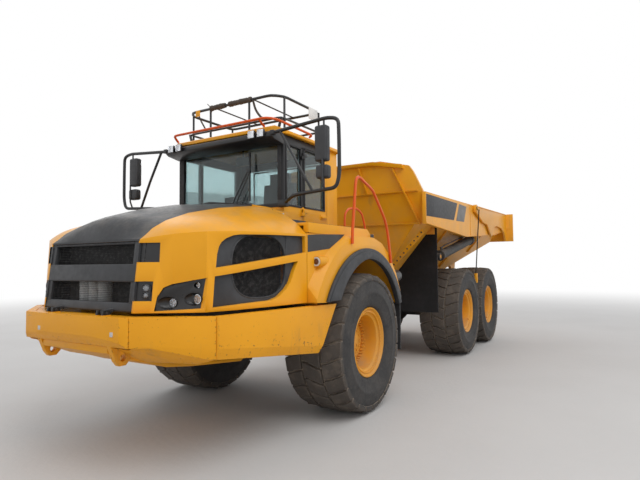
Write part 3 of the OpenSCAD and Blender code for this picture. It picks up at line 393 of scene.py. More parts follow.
def lamp_glass(name, colour, transmission=0.85):
    f = Finish(name, colour, 0.05)
    f.clear(transmission)
    f.tint(f.patches(0.45, 0.8, 9, 5), tuple(c * 0.8 for c in colour), 0.4)
    ribs = f.calc("SINE", f.times(f.axis("Y"), 520))
    f.rough(f.noise(14, 4), 0.03, 0.25)
    f.bump(ribs, 0.0006)
    return f.done()


def canvas_cloth():
    f = Finish("canvas_cloth", (0.075, 0.058, 0.045), 0.9)
    f.tint(f.patches(0.4, 0.7, 14, 6), (0.13, 0.10, 0.08), 0.7)
    weave = f.times(f.calc("SINE", f.times(f.axis("Y"), 900)), f.calc("SINE", f.times(f.axis("X"), 900)))
    f.rough(f.noise(40, 4), 0.8, 1.0)
    f.bump(f.noise(35, 5), 0.004)
    f.bump(weave, 0.0005)
    return f.done()


FINISHES = {}


def make_finishes():
    FINISHES.update(
        yellow=painted_steel("yellow_paint", wear=0.35, dirt=0.22),
        body_yellow=painted_steel("yellow_paint_body", YELLOW, wear=1.0, dirt=0.75, low=1.2, high=3.2),
        frame_yellow=painted_steel("yellow_paint_frame", (0.62, 0.26, 0.012), wear=1.0, dirt=1.3,
                                   low=0.4, high=1.8),
        rim=painted_steel("yellow_paint_rims", (0.80, 0.34, 0.010), wear=0.8, dirt=0.7, low=0.2, high=1.6),
        hood_paint=hood_paint(),
        cab_paint=cab_paint(),
        bumper_paint=bumper_paint(),
        charcoal=moulded_plastic("charcoal_plastic"),
        flat_black=moulded_plastic("flat_black_wire", (0.007, 0.007, 0.008), (0.7, 0.9), 0.2),
        canister=moulded_plastic("pale_canister", (0.50, 0.50, 0.49), (0.35, 0.55), 0.3),
        gloss_black=moulded_plastic("black_enamel", (0.012, 0.012, 0.013), (0.22, 0.45), 0.3),
        worn_grey=moulded_plastic("worn_grey_film", (0.16, 0.155, 0.15), (0.5, 0.8), 0.9),
        black_steel=dark_steel("black_steel"),
        glass=clear_glass(),
        orange=painted_steel("orange_paint", (0.78, 0.105, 0.008), wear=0.5, dirt=0.2),
        grey_steel=dark_steel("grey_cylinder_paint", (0.030, 0.029, 0.028), 0.5),
        bright_rod=plain_metal("bright_rod", (0.62, 0.62, 0.63)),
        chrome=plain_metal("lamp_reflector", (0.85, 0.86, 0.88), (0.05, 0.2)),
        lens=lamp_glass("lamp_glass", (0.95, 0.97, 1.0)),
        amber=lamp_glass("amber_glass", (0.75, 0.25, 0.03), transmission=0.5),
        smoke_lens=lamp_glass("smoked_glass", (0.20, 0.07, 0.03), transmission=0.3),
        red_lens=lamp_glass("red_glass", (0.55, 0.02, 0.01), transmission=0.4),
        reflector=moulded_plastic("pale_reflector", (0.60, 0.58, 0.55), (0.2, 0.4), 0.3),
        rubber=moulded_plastic("flap_rubber", (0.018, 0.018, 0.019), (0.55, 0.85), 0.8),
        flap=moulded_plastic("flap_sheet", (0.004, 0.004, 0.005), (0.8, 0.95), 0.12),
        canvas=canvas_cloth(),
        tyre=tyre_rubber(),
    )


def finish_cad_nodes():
    for name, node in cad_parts.items():
        finish = "glass" if name in ("cab_glass", "door_glass") else "black_steel"
        node.data.materials.clear()
        node.data.materials.append(FINISHES[finish])


# Modelling helpers

def deselect():
    if bpy.context.mode != "OBJECT":
        bpy.ops.object.mode_set(mode="OBJECT")
    bpy.ops.object.select_all(action="DESELECT")


def pick(piece):
    deselect()
    piece.select_set(True)
    bpy.context.view_layer.objects.active = piece


@contextmanager
def editing(piece):
    """Edit mode on one piece, with all of it selected."""
    pick(piece)
    bpy.ops.object.mode_set(mode="EDIT")
    bpy.ops.mesh.select_all(action="SELECT")
    yield
    bpy.ops.object.mode_set(mode="OBJECT")


def settle(piece):
    pick(piece)
    bpy.ops.object.transform_apply(location=True, rotation=True, scale=True)
    return piece


def modify(piece, kind, **settings):
    pick(piece)
    modifier = piece.modifiers.new(kind.lower(), kind)
    for key, value in settings.items():
        setattr(modifier, key, value)
    bpy.ops.object.modifier_apply(modifier=modifier.name)
    return piece


def round_edges(piece, width, segments=2, angle=32):
    return modify(piece, "BEVEL", width=width, segments=segments, limit_method="ANGLE",
                  angle_limit=math.radians(angle), use_clamp_overlap=True)


def outwards(piece):
    """Merges doubles and turns all faces outwards."""
    with editing(piece):
        bpy.ops.mesh.remove_doubles(threshold=1e-5)
        bpy.ops.mesh.normals_make_consistent(inside=False)
    return piece


def sliced(piece, *cuts):
    """Cuts new edges into a piece at each plane of [place, normal]."""
    with editing(piece):
        for where, normal in cuts:
            bpy.ops.mesh.select_all(action="SELECT")
            bpy.ops.mesh.bisect(plane_co=where, plane_no=normal)
    return piece


def block(name, low, high, edge=0.0, segments=2):
    """A bar or panel between two corners, with its edges rounded."""
    deselect()
    low, high = Vector(low), Vector(high)
    bpy.ops.mesh.primitive_cube_add(size=1, location=(low + high) / 2)
    piece = bpy.context.object
    piece.name = name
    piece.scale = high - low
    settle(piece)
    return round_edges(piece, edge, segments) if edge else piece


# For each axis, the two axes of an outline square to it and the axis itself
AXES = {"X": (1, 2, 0), "Y": (0, 2, 1), "Z": (0, 1, 2)}


def plate(name, outline, axis, start, depth, edge=0.0, segments=2):
    """A plate of this outline, square to an axis, from start and as thick as depth."""
    deselect()
    bpy.ops.mesh.primitive_circle_add(vertices=len(outline), radius=1, fill_type="NGON")
    piece = bpy.context.object
    piece.name = name
    a, b, c = AXES[axis]
    for vertex, point in zip(piece.data.vertices, outline):
        co = [0, 0, 0]
        co[a], co[b], co[c] = point[0], point[1], start
        vertex.co = co
    move = [0, 0, 0]
    move[c] = depth
    with editing(piece):
        bpy.ops.mesh.extrude_region_move(TRANSFORM_OT_translate={"value": move})
    outwards(piece)
    return round_edges(piece, edge, segments) if edge else piece


def bar(name, a, b, radius, sides=16, edge=0.0):
    """A round bar from a to b."""
    deselect()
    a, b = Vector(a), Vector(b)
    bpy.ops.mesh.primitive_cylinder_add(vertices=sides, radius=radius, depth=(b - a).length,
                                        location=(a + b) / 2)
    piece = bpy.context.object
    piece.name = name
    piece.rotation_euler = (b - a).to_track_quat("Z", "Y").to_euler()
    settle(piece)
    return round_edges(piece, edge, 2) if edge else piece


def eased(points, cut):
    """The points of a centre line with its corners rounded."""
    points = [Vector(p) for p in points]
    line = [points[0]]
    for before, corner, after in zip(points, points[1:], points[2:]):
        reach = min(cut, (before - corner).length * 0.45, (after - corner).length * 0.45)
        a = corner + (before - corner).normalized() * reach
        b = corner + (after - corner).normalized() * reach
        line += [(1 - t) ** 2 * a + 2 * t * (1 - t) * corner + t * t * b for t in (0, 0.25, 0.5, 0.75, 1)]
    return line + [points[-1]]


def tube(name, points, radius, cut=0.05, sides=3, closed=False):
    """A bent tube or hose along these points."""
    deselect()
    curve = bpy.data.curves.new(name, "CURVE")
    curve.dimensions = "3D"
    curve.bevel_depth = radius
    curve.bevel_resolution = sides
    curve.use_fill_caps = True
    line = eased(points, cut)
    spline = curve.splines.new("POLY")
    spline.points.add(len(line) - 1)
    for point, co in zip(spline.points, line):
        point.co = (*co, 1)
    spline.use_cyclic_u = closed
    piece = bpy.data.objects.new(name, curve)
    bpy.context.scene.collection.objects.link(piece)
    pick(piece)
    bpy.ops.object.convert(target="MESH")
    return bpy.context.object


def turned(name, section, steps, centre=(0, 0, 0), axis=(0, 1, 0)):
    """A shape turned round an axis from its closed section of [radius, place along the axis]."""
    deselect()
    bpy.ops.mesh.primitive_circle_add(vertices=len(section), radius=1, fill_type="NOTHING")
    piece = bpy.context.object
    piece.name = name
    along = Vector(axis).normalized()
    out = Vector((0, 0, 1)) if abs(along.z) < 0.5 else Vector((1, 0, 0))
    for vertex, (radius, place) in zip(piece.data.vertices, section):
        vertex.co = Vector(centre) + out * radius + along * place
    with editing(piece):
        bpy.ops.mesh.spin(steps=steps, angle=math.tau, center=centre, axis=axis)
    return outwards(piece)


def funnel(name, rings, thick, steps=32):
    """A thin-walled funnel through these ellipses, each as [centre, one half axis, the other]."""
    deselect()
    bpy.ops.mesh.primitive_circle_add(vertices=steps, radius=1, fill_type="NOTHING")
    piece = bpy.context.object
    piece.name = name
    with editing(piece):
        for _ in rings[1:]:
            bpy.ops.mesh.extrude_region_move(TRANSFORM_OT_translate={"value": (0, 0, 1)})
    for vertex in piece.data.vertices:
        centre, a, b = (Vector(v) for v in rings[round(vertex.co.z)])
        radius = math.hypot(vertex.co.x, vertex.co.y)
        vertex.co = centre + a * (vertex.co.x / radius) + b * (vertex.co.y / radius)
    modify(piece, "SOLIDIFY", thickness=thick, offset=0)
    return outwards(piece)


def sheet(name, rows, thick):
    """A thin sheet through rows of points, each row as long as the others."""
    deselect()
    across, along = len(rows[0]), len(rows)
    bpy.ops.mesh.primitive_grid_add(x_subdivisions=across - 1, y_subdivisions=along - 1, size=2)
    piece = bpy.context.object
    piece.name = name
    for vertex in piece.data.vertices:
        i = round((vertex.co.x + 1) / 2 * (across - 1))
        j = round((vertex.co.y + 1) / 2 * (along - 1))
        vertex.co = rows[j][i]
    modify(piece, "SOLIDIFY", thickness=thick, offset=0)
    return outwards(piece)


def joined(name, pieces):
    deselect()
    for piece in pieces:
        piece.select_set(True)
    bpy.context.view_layer.objects.active = pieces[0]
    if len(pieces) > 1:
        bpy.ops.object.join()
    whole = bpy.context.object
    whole.name = name
    return whole


def copied(piece, turn=0.0, centre=(0, 0, 0), mirror=False):
    """A copy with its own mesh, turned about the cross axis through centre, or mirrored across."""
    new = piece.copy()
    new.data = piece.data.copy()
    bpy.context.scene.collection.objects.link(new)
    back = Matrix.Translation(-Vector(centre))
    matrix = Matrix.Translation(centre) @ Matrix.Rotation(turn, 4, "Y") @ back
    if mirror:
        matrix = Matrix.Diagonal((1, -1, 1, 1)) @ matrix
    new.data.transform(matrix)
    if mirror:
        new.data.flip_normals()
    return new


def ringed(piece, count, centre=(0, 0, 0)):
    """A piece and its copies, evenly round the cross axis through centre."""
    return [piece] + [copied(piece, math.tau * k / count, centre) for k in range(1, count)]


def both(pieces):
    """The pieces and their mirror images on the machine's other side."""
    return pieces + [copied(p, mirror=True) for p in pieces]


def from_node(node, edge=0.0, segments=2, flat=2.0):
    """A copy of a CAD node's mesh with its triangles merged into faces and its edges rounded."""
    deselect()
    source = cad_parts[node]
    piece = source.copy()
    piece.data = source.data.copy()
    piece.parent = None
    piece.matrix_world = Matrix.Identity(4)
    for key in [k for k in piece.keys() if k.startswith("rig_")]:
        del piece[key]
    bpy.context.scene.collection.objects.link(piece)
    piece.hide_render = piece.hide_viewport = False
    with editing(piece):
        bpy.ops.mesh.remove_doubles(threshold=1e-4)
        bpy.ops.mesh.dissolve_limited(angle_limit=math.radians(flat))
    piece.data.transform(Matrix.Translation((-AXLE_X, 0, 0)))
    if piece.data.has_custom_normals:
        bpy.ops.mesh.customdata_custom_splitnormals_clear()
    return round_edges(piece, edge, segments) if edge else piece


def place(piece, name, body, material, smooth, nodes=()):
    """Gives a piece its material and its body; without a body it stays free."""
    settle(piece)
    piece.name = name
    piece.data.name = name
    piece.data.transform(Matrix.Translation((AXLE_X, 0, 0)))
    pick(piece)
    bpy.ops.object.shade_smooth_by_angle(angle=math.radians(smooth))
    piece.data.materials.clear()
    piece.data.materials.append(FINISHES[material])
    if body:
        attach(piece, body)
    if nodes:
        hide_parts(*nodes)
    return piece


def fit(name, pieces, body, material, smooth=38, nodes=()):
    """Joins these pieces into one and puts it in its place."""
    return place(joined(name, pieces), name, body, material, smooth, nodes)


def dress(node, name, body, material, smooth=38, edge=0.0, segments=2, flat=2.0):
    """A CAD node's own form with its edges rounded, in that node's place."""
    return place(from_node(node, edge, segments, flat), name, body, material, smooth, (node,))


# Wheels

TYRE_R = 0.79
SHOULDER_R = 0.70
TREAD_HALF = 0.350
TREAD_DEPTH = 0.030
PITCHES = 26
GROOVE_HALF = 0.012


def crown(y):
    """Radius of the tyre over its lugs at this place across the tread."""
    over = max(0.0, abs(y) - 0.27)
    return TYRE_R - 0.012 * (y / 0.27) ** 2 - 1.9 * over ** 2 - 14 * over ** 3


def tread_block(outline):
    """One worn lug, wrapped round the tyre from its flat outline of [along, across]."""
    deselect()
    bpy.ops.mesh.primitive_circle_add(vertices=len(outline), radius=1, fill_type="NGON")
    lug = bpy.context.object
    for vertex, (along, across) in zip(lug.data.vertices, outline):
        vertex.co = (along, across, 0)
    with editing(lug):
        bpy.ops.mesh.extrude_region_move(TRANSFORM_OT_translate={"value": (0, 0, 1)})
        bpy.ops.mesh.select_all(action="SELECT")
        bpy.ops.mesh.normals_make_consistent(inside=False)
    middle = sum((Vector(p) for p in outline), Vector((0, 0))) / len(outline)
    for vertex in lug.data.vertices:
        along, across, up = vertex.co
        if up < 0.5:
            along = middle.x + (along - middle.x) * 1.08
            across = middle.y + (across - middle.y) * 1.03
        radius = crown(across) - (TREAD_DEPTH + 0.02 if up < 0.5 else 0)
        turn = along / TYRE_R
        vertex.co = (radius * math.sin(turn), across, radius * math.cos(turn))
    return lug


def make_tyre():
    # Section from the bead over the side wall to the shoulder, as [radius, half width]
    shell = [(0.330, 0.20), (0.392, 0.285), (0.398, 0.300), (0.408, 0.318), (0.424, 0.333), (0.45, 0.340),
             (0.50, 0.352), (0.548, 0.3590), (0.553, 0.3620), (0.575, 0.3620), (0.580, 0.3595),
             (0.62, 0.358), (0.66, 0.350), (0.695, 0.342), (0.715, 0.335), (0.735, 0.320), (0.747, 0.300)]
    over = [(crown(y) - TREAD_DEPTH, y) for y in (0.27, 0.2, 0.1)]
    section = shell + over
    section += [(r, -y) for r, y in reversed(section)]
    section += [(0.322, 0.0)]
    tyre = turned("tyre", section, 102)
    pitch = math.tau * TYRE_R / PITCHES

    def wave(y):
        """How far a lug leans along the tread at this place across it."""
        return 0.036 * math.sin(y / 0.345 * math.pi * 1.35)

    def lug_outline(y0, y1, shift, steps):
        ys = [y0 + (y1 - y0) * i / steps for i in range(steps + 1)]
        low = [(-pitch / 2 + GROOVE_HALF + wave(y) + shift, y) for y in ys]
        high = [(pitch / 2 - GROOVE_HALF + wave(y) + shift, y) for y in reversed(ys)]
        return low + high

    columns = [lug_outline(-TREAD_HALF, -0.128, 0, 5), lug_outline(-0.108, 0.108, pitch * 0.42, 4),
               lug_outline(0.128, TREAD_HALF, pitch * 0.1, 5)]
    lugs = []
    for outline in columns:
        lugs += ringed(round_edges(tread_block(outline), 0.007, 1, 40), PITCHES)
    whole = joined("tyre", [tyre] + lugs)
    groove = whole.data.attributes.new("groove", "FLOAT", "POINT")
    tread = whole.data.attributes.new("tread", "FLOAT", "POINT")
    for i, vertex in enumerate(whole.data.vertices):
        radius = math.hypot(vertex.co.x, vertex.co.z)
        depth = crown(max(-TREAD_HALF, min(TREAD_HALF, vertex.co.y))) - radius
        in_groove = abs(vertex.co.y) < TREAD_HALF + 0.002 and depth > 0.010 and radius > SHOULDER_R
        groove.data[i].value = 1 if in_groove else 0
        tread.data[i].value = max(0.0, min(1.0, (radius - SHOULDER_R) / 0.05))
    return whole


def make_rim():
    section = [(0.394, 0.299), (0.3945, 0.306), (0.390, 0.312), (0.380, 0.312), (0.372, 0.304),
               (0.362, 0.288), (0.352, 0.286), (0.349, 0.292), (0.342, 0.294), (0.336, 0.290),
               (0.332, 0.272), (0.318, 0.262), (0.304, 0.256), (0.298, 0.240), (0.292, 0.165),
               (0.288, 0.105), (0.280, 0.088), (0.262, 0.082), (0.120, 0.080), (0.120, 0.055),
               (0.285, 0.055), (0.300, -0.20), (0.325, -0.292), (0.380, -0.304), (0.394, -0.310),
               (0.394, -0.300), (0.336, -0.285), (0.318, -0.22), (0.314, 0.10), (0.318, 0.245),
               (0.350, 0.275)]
    parts = [turned("rim", section, 72)]
    parts.append(turned("hub", [(0.0, 0.134), (0.05, 0.134), (0.085, 0.128), (0.092, 0.116), (0.150, 0.108),
                                (0.160, 0.100), (0.163, 0.090), (0.200, 0.086), (0.203, 0.06), (0.0, 0.06)],
                        60))
    # Wheel nuts in the bottom of the dish
    nut = bar("nut", (0, 0.078, 0.244), (0, 0.116, 0.244), 0.0155, 6, 0.002)
    stud = bar("stud", (0, 0.114, 0.244), (0, 0.132, 0.244), 0.008, 10, 0.001)
    parts += ringed(joined("nut", [nut, stud]), 36)
    # Bolts of the planetary gear's cover, and its drain plug
    bolt = bar("cover_bolt", (0, 0.108, 0.125), (0, 0.124, 0.125), 0.009, 6, 0.0015)
    parts += ringed(bolt, 12)
    parts.append(bar("drain_plug", (0.055, 0.12, 0.0), (0.055, 0.144, 0.0), 0.014, 8, 0.002))
    # Air valve on the rim
    parts.append(tube("air_valve", [(0, 0.245, 0.298), (0, 0.262, 0.290), (-0.03, 0.275, 0.292)], 0.006,
                      0.01))
    parts.append(block("valve_clip", (-0.012, 0.250, 0.280), (0.012, 0.262, 0.306), 0.003))
    return joined("rim", parts)


def make_wheels():
    tyre, rim = make_tyre(), make_rim()
    for axle, x in AXLES.items():
        for side, s in SIDES.items():
            start = random.uniform(0, math.tau)
            for shape, kind in ((tyre, "tyre"), (rim, "rim")):
                wheel = copied(shape, turn=start)
                if s < 0:
                    wheel.data.transform(Matrix.Rotation(math.pi, 4, "Z"))
                wheel.data.transform(Matrix.Translation((x, s * TRACK_HALF, HUB_Z)))
                place(wheel, f"{kind}_dressed_{axle}_{side}", f"wheel_{axle}_{side}", kind, 35,
                      (f"{kind}_{axle}_{side}",))
    for shape in (tyre, rim):
        bpy.data.objects.remove(shape)


# Hood

# Fold lines of the hood's side, as [place at the lower edge, lean, half width]
HOOD_SIDE = [(1.105, 0, 1.290), (1.6, 0, 1.235), (2.0, 0, 1.170), (2.27, 0.02, 1.085), (2.43, 0.05, 0.874),
             (2.53, 0.09, 0.708), (2.59, 0.12, 0.617)]
HOOD_LOW = 1.31


def hood_line(z):
    """The hood's side at this height, as [place along, half width]."""
    return [(x - lean * (z - HOOD_LOW), y) for x, lean, y in HOOD_SIDE]


def hood_half(x, z):
    """Half the hood's width at this place along it and this height."""
    line = hood_line(z)
    for (x0, y0), (x1, y1) in zip(line, line[1:]):
        if x <= x1:
            return y0 + (y1 - y0) * (x - x0) / (x1 - x0)
    return line[-1][1]


def hood_x(y, z):
    """Place along the hood where its side is this far out."""
    line = hood_line(z)[::-1]
    if y <= line[0][1]:
        return line[0][0]
    for (x1, y1), (x0, y0) in zip(line, line[1:]):
        if y <= y0:
            return x1 + (x0 - x1) * (y - y1) / (y0 - y1)
    return line[-1][0]


def hug_side(piece):
    """Lays a flat piece, made near y = 0, against the hood's left side."""
    sliced(piece, *[((x, 0, HOOD_LOW), (1, 0, lean)) for x, lean, _ in HOOD_SIDE])
    for vertex in piece.data.vertices:
        vertex.co.y += hood_half(vertex.co.x, vertex.co.z)
    return piece


def rounded_box(cx, cz, half_x, half_z, power, steps=56):
    """Outline of a box with very round corners."""
    def swung(part):
        return math.copysign(abs(part) ** (2 / power), part)

    turns = [math.tau * k / steps for k in range(steps)]
    return [(cx + half_x * swung(math.cos(a)), cz + half_z * swung(math.sin(a))) for a in turns]


def cut_out(piece, cutter):
    modify(piece, "BOOLEAN", object=cutter)
    bpy.data.objects.remove(cutter)
    return piece


# Round mesh behind the side openings, with the fan at its middle
FAN_X = 1.692
FAN_Z = 1.672
MESH_HALF_X = 0.322
MESH_HALF_Z = 0.279
MESH_POWER = 2.7


def make_hood():
    dress("hood_shell", "hood_panels", "hood", "hood_paint", 40, 0.007, flat=1.0)

    # Dark insets behind the side openings, with one round mesh behind both
    inset = plate("side_inset", [(2.225, 1.322), (2.205, 1.62), (2.19, 1.80), (2.165, 1.89), (2.10, 1.938),
                                 (1.96, 1.952), (1.112, 1.958), (1.112, 1.332)], "Y", -0.060, 0.022)
    cut_out(inset, plate("cutter", rounded_box(FAN_X, FAN_Z, 0.315, 0.272, MESH_POWER), "Y", -0.2, 0.4))
    round_edges(inset, 0.006, 2)
    hug_side(inset)
    rim = rounded_box(FAN_X, FAN_Z, MESH_HALF_X, MESH_HALF_Z, MESH_POWER)
    ring = tube("mesh_ring", [(x, -0.040, z) for x, z in rim], 0.007, 0.001, 3, True)
    hug_side(ring)
    step = plate("inset_step", [(1.352, 1.345), (1.366, 1.345), (1.366, 1.95), (1.352, 1.95)], "Y", -0.040,
                 0.006, 0.002)
    hug_side(step)
    fit("side_insets", both([inset, ring, step]), "hood", "charcoal", 35, ("hood_mesh",))

    bars = []
    for k in range(-30, 31):
        for slope in (1, -1):
            # A diagonal wire, cut to the round opening
            points = []
            for t in range(-34, 35):
                x, z = t * 0.010, slope * t * 0.010 + k * 0.022
                if abs(x / MESH_HALF_X) ** MESH_POWER + abs(z / MESH_HALF_Z) ** MESH_POWER <= 1:
                    points.append((FAN_X + x, -0.050, FAN_Z + z))
            if len(points) > 2:
                bars.append(tube("wire", [points[0], points[-1]], 0.0022, 0.001, 0))
    fit("side_nets", both([hug_side(joined("net", bars))]), "hood", "flat_black", 30)

    # Fan seen faintly through the mesh, in front of a flat black wall that stands in for the shade inside
    # the hood
    at = (FAN_X, 1.02, FAN_Z)
    fan = [turned("fan_shroud", [(0.25, 0), (0.27, 0), (0.27, 0.03), (0.25, 0.03)], 40, at),
           turned("fan_hub", [(0.0, 0), (0.07, 0), (0.06, 0.035), (0.0, 0.045)], 24, at)]
    blade = plate("blade", [(1.682, 1.727), (1.702, 1.727), (1.737, 1.912), (1.657, 1.912)], "Y", 1.03,
                  0.006, 0.002)
    fan += ringed(blade, 9, (FAN_X, 0, FAN_Z))
    # Painted shade: a black wall where the hood's inside lies in shade
    fan.append(block("shade_backing", (1.13, 0.975, 1.33), (2.22, 0.995, 1.94), 0.004))
    fit("side_fans", both([joined("fan", fan)]), "hood", "flat_black", 30)


def nose_x(z):
    """Front of the hood at this height."""
    return hood_line(z)[-1][0]


def on_nose(name, outline, lift, depth, edge=0.0):
    """A plate laid on the hood's rounded front corner, from its outline of [y, z]."""
    piece = plate(name, outline, "X", lift - depth, depth)
    sliced(piece, *[((0, y, 0), (0, 1, 0)) for y in (0.617, 0.708, 0.66, 0.75)])
    for vertex in piece.data.vertices:
        vertex.co.x += hood_x(vertex.co.y, vertex.co.z)
    return round_edges(piece, edge, 2, 40) if edge else piece


def make_grille():
    parts = []

    def band(z0, z1, half, out, depth=0.05):
        side = [(nose_x(z0) + out - depth, z0), (nose_x(z0) + out - 0.006, z0),
                (nose_x(z0) + out, z0 + 0.012), (nose_x(z1) + out, z1 - 0.012),
                (nose_x(z1) + out - 0.006, z1), (nose_x(z1) + out - depth, z1)]
        return plate("band", side, "Y", -half, 2 * half, 0.004)

    parts.append(band(1.313, 1.389, 0.598, -0.003))
    parts.append(band(1.552, 1.700, 0.598, 0.003))
    parts.append(band(1.862, 1.884, 0.598, -0.004))
    upright = plate("upright", [(nose_x(1.38) - 0.05, 1.38), (nose_x(1.38) - 0.006, 1.38),
                                (nose_x(1.884) - 0.006, 1.884), (nose_x(1.884) - 0.05, 1.884)],
                    "Y", 0.545, 0.054, 0.004)
    # Dark covers that join the grille to the notches, and the hinge arms below
    covers = [on_nose("cover", [(0.590, z0), (0.613, z0), (0.613, z1), (0.590, z1)], 0.003, 0.026)
              for z0, z1 in ((1.714, 1.866), (1.406, 1.558))]
    arm = plate("hinge_arm", [(2.545, 1.314), (2.545, 1.340), (2.575, 1.340), (2.676, 1.326),
                              (2.676, 1.297), (2.641, 1.297)], "Y", 0.327, 0.040, 0.004)
    pin = bar("hinge_pin", (2.66, 0.298, 1.31), (2.66, 0.397, 1.31), 0.0118, 20, 0.002)
    parts += both([upright, *covers, arm, pin])
    fit("grille_frame", parts, "hood", "charcoal", 35, ("grille",))

    wires = []
    for z0, z1 in ((1.388, 1.552), (1.700, 1.862)):
        for k in range(-36, 37):
            y = k * 0.015
            wires.append(tube("wire", [(nose_x(z0) - 0.035, y, z0), (nose_x(z1) - 0.035, y, z1)], 0.0016,
                              0.001, 0))
        rows = int((z1 - z0) / 0.015)
        for k in range(1, rows + 1):
            z = z0 + k * 0.015
            wires.append(tube("wire", [(nose_x(z) - 0.033, -0.546, z), (nose_x(z) - 0.033, 0.546, z)],
                              0.0016, 0.001, 0))
    fit("grille_net", wires, "hood", "flat_black", 30)

    # Three pale canisters behind the lower grille
    cans = [bar("canister", (2.455, y, 1.375), (2.455, y, 1.556), 0.060, 28, 0.006)
            for y in (-0.178, -0.047, 0.085)]
    fit("grille_canisters", cans, "front_unit", "canister", 40)

    # Dark insets in the notches beside the grille
    insets = [on_nose("notch_inset", [(0.596, z0), (y1, z0), (y1, z1), (0.596, z1)], -0.019, 0.006)
              for z0, z1, y1 in ((1.7125, 1.8675, 0.7670), (1.4045, 1.5595, 0.7340))]
    insets.append(on_nose("notch_step", [(0.640, 1.714), (0.652, 1.714), (0.652, 1.866), (0.640, 1.866)],
                          -0.012, 0.010))
    fit("nose_insets", both(insets), "hood", "gloss_black", 35)

    # Upright head lamps in the lower insets
    facing = Vector((0.86, 0.50, 0.02)).to_track_quat("X", "Z").to_matrix().to_4x4()
    to_lamp = Matrix.Translation((2.522, 0.688, 1.480)) @ facing
    housing = plate("housing", rounded_box(0, 0, 0.040, 0.062, 3.4, 32), "X", -0.022, 0.024, 0.004)
    bezels, bowls, lenses = [housing], [], []
    for z, r in ((0.026, 0.026), (-0.030, 0.021)):
        at = (0, 0, z)
        bezels.append(turned("bezel", [(r, -0.004), (r + 0.005, -0.004), (r + 0.005, 0.006),
                                       (r + 0.002, 0.009), (r, 0.006)], 28, at, (1, 0, 0)))
        bowls.append(turned("bowl", [(0.0, -0.012), (r * 0.5, -0.010), (r, 0.002), (r, -0.004),
                                     (r * 0.5, -0.015), (0.0, -0.016)], 28, at, (1, 0, 0)))
        lenses.append(turned("lens", [(0.0, 0.012), (r * 0.6, 0.010), (r, 0.004), (r, 0.001), (0.0, 0.004)],
                             28, at, (1, 0, 0)))
    for p in bezels + bowls + lenses:
        p.data.transform(to_lamp)
    fit("nose_lamp_housings", both(bezels), "hood", "gloss_black", 40)
    fit("nose_lamp_bowls", both(bowls), "hood", "chrome", 40)
    fit("nose_lamp_lenses", both(lenses), "hood", "lens", 40)


def make_lamp_pods():
    a, b = Vector((2.500, 0.742, 0)), Vector((2.251, 1.091, 0))
    along = (b - a).normalized()
    out = Vector((along.y, -along.x, 0))
    to_pod = Matrix.Translation(a) @ Matrix((along, out, Vector((0, 0, 1)))).transposed().to_4x4()
    length = (b - a).length
    panel = plate("pod", [(-0.03, 1.315), (-0.03, 1.45), (0.05, 1.535), (0.10, 1.565),
                          (length - 0.005, 1.60), (length - 0.005, 1.315)], "Y", -0.045, 0.033)
    # Place in the pod's plane, lamp's radius, hollow's half length, half height and shift, lamp's depth
    lamps = [(0.150, 1.387, 0.034, 0.080, 0.053, -0.036, 0.032),
             (0.345, 1.414, 0.034, 0.072, 0.053, -0.032, 0.016),
             (0.350, 1.524, 0.019, 0.030, 0.026, -0.006, 0.018)]
    lenses, bowls = [], []
    for u, z, _, half_u, half_z, shift, _ in lamps:
        cutter = bar("cutter", (0, -0.2, 0), (0, 0.2, 0), 1, 40)
        oval = Matrix.Diagonal((half_u, 1, half_z, 1))
        cutter.data.transform(Matrix.Translation((u + shift, 0, z)) @ oval)
        cut_out(panel, cutter)
    round_edges(panel, 0.003, 2)
    pods = [panel]
    ahead = to_pod.to_3x3().inverted() @ Vector((1, 0, 0))
    across = Vector((0, 0, 1)).cross(ahead)
    for u, z, r, half_u, half_z, shift, depth in lamps:
        lamp = Vector((u, -depth, z))
        rings = [((u + shift, -0.013, z), (half_u, 0, 0), (0, 0, half_z)),
                 ((u + shift * 0.8, -0.036, z), (half_u * 0.82, 0, 0), (0, 0, half_z * 0.92)),
                 ((u + shift * 0.5, -0.046, z), (half_u * 0.6, 0, 0), (0, 0, half_z * 0.80)),
                 (lamp - ahead * 0.002, across * -r * 1.18, (0, 0, r * 1.18)),
                 (lamp - ahead * 0.030, across * -r * 1.05, (0, 0, r * 1.05))]
        pods.append(funnel("hollow", rings, 0.003))
        turn = Matrix.Translation(lamp) @ ahead.to_track_quat("X", "Z").to_matrix().to_4x4()
        bowl = turned("bowl", [(0, -0.034), (r * 0.6, -0.028), (r, -0.006), (r, 0.002), (r * 1.12, 0.002),
                               (r * 1.12, -0.010), (r * 0.7, -0.036), (0, -0.042)], 32, (0, 0, 0),
                      (1, 0, 0))
        lens = turned("lens", [(0, 0.006), (r * 0.6, 0.004), (r, -0.001), (r, -0.005), (0, -0.002)], 32,
                      (0, 0, 0), (1, 0, 0))
        bowl.data.transform(turn)
        lens.data.transform(turn)
        bowls.append(bowl)
        lenses.append(lens)
    for group in (pods, bowls, lenses):
        for p in group:
            p.data.transform(to_pod)
            outwards(p)
    fit("lamp_pods", both(pods), "hood", "gloss_black", 35, ("head_lamps",))
    fit("pod_reflectors", both(bowls), "hood", "chrome", 40)
    fit("pod_lenses", both(lenses), "hood", "lens", 40)


# Bumper

def cut_piece(piece, at, towards, keep):
    """Keeps the part of a piece on one side of a plane and closes the cut."""
    with editing(piece):
        bpy.ops.mesh.bisect(plane_co=at, plane_no=towards, use_fill=True,
                            clear_inner=keep == "outer", clear_outer=keep == "inner")
    return piece


# Seams between the bumper's five panels, and the fold along the lower edge of its sides
CENTRE_HALF = 0.70
SIDE_FRONT = 2.31
SEAM_HALF = 0.0025
FOLD_X = 2.328
FOLD_Z = 1.045
FOLD_SLOPE = 0.1157


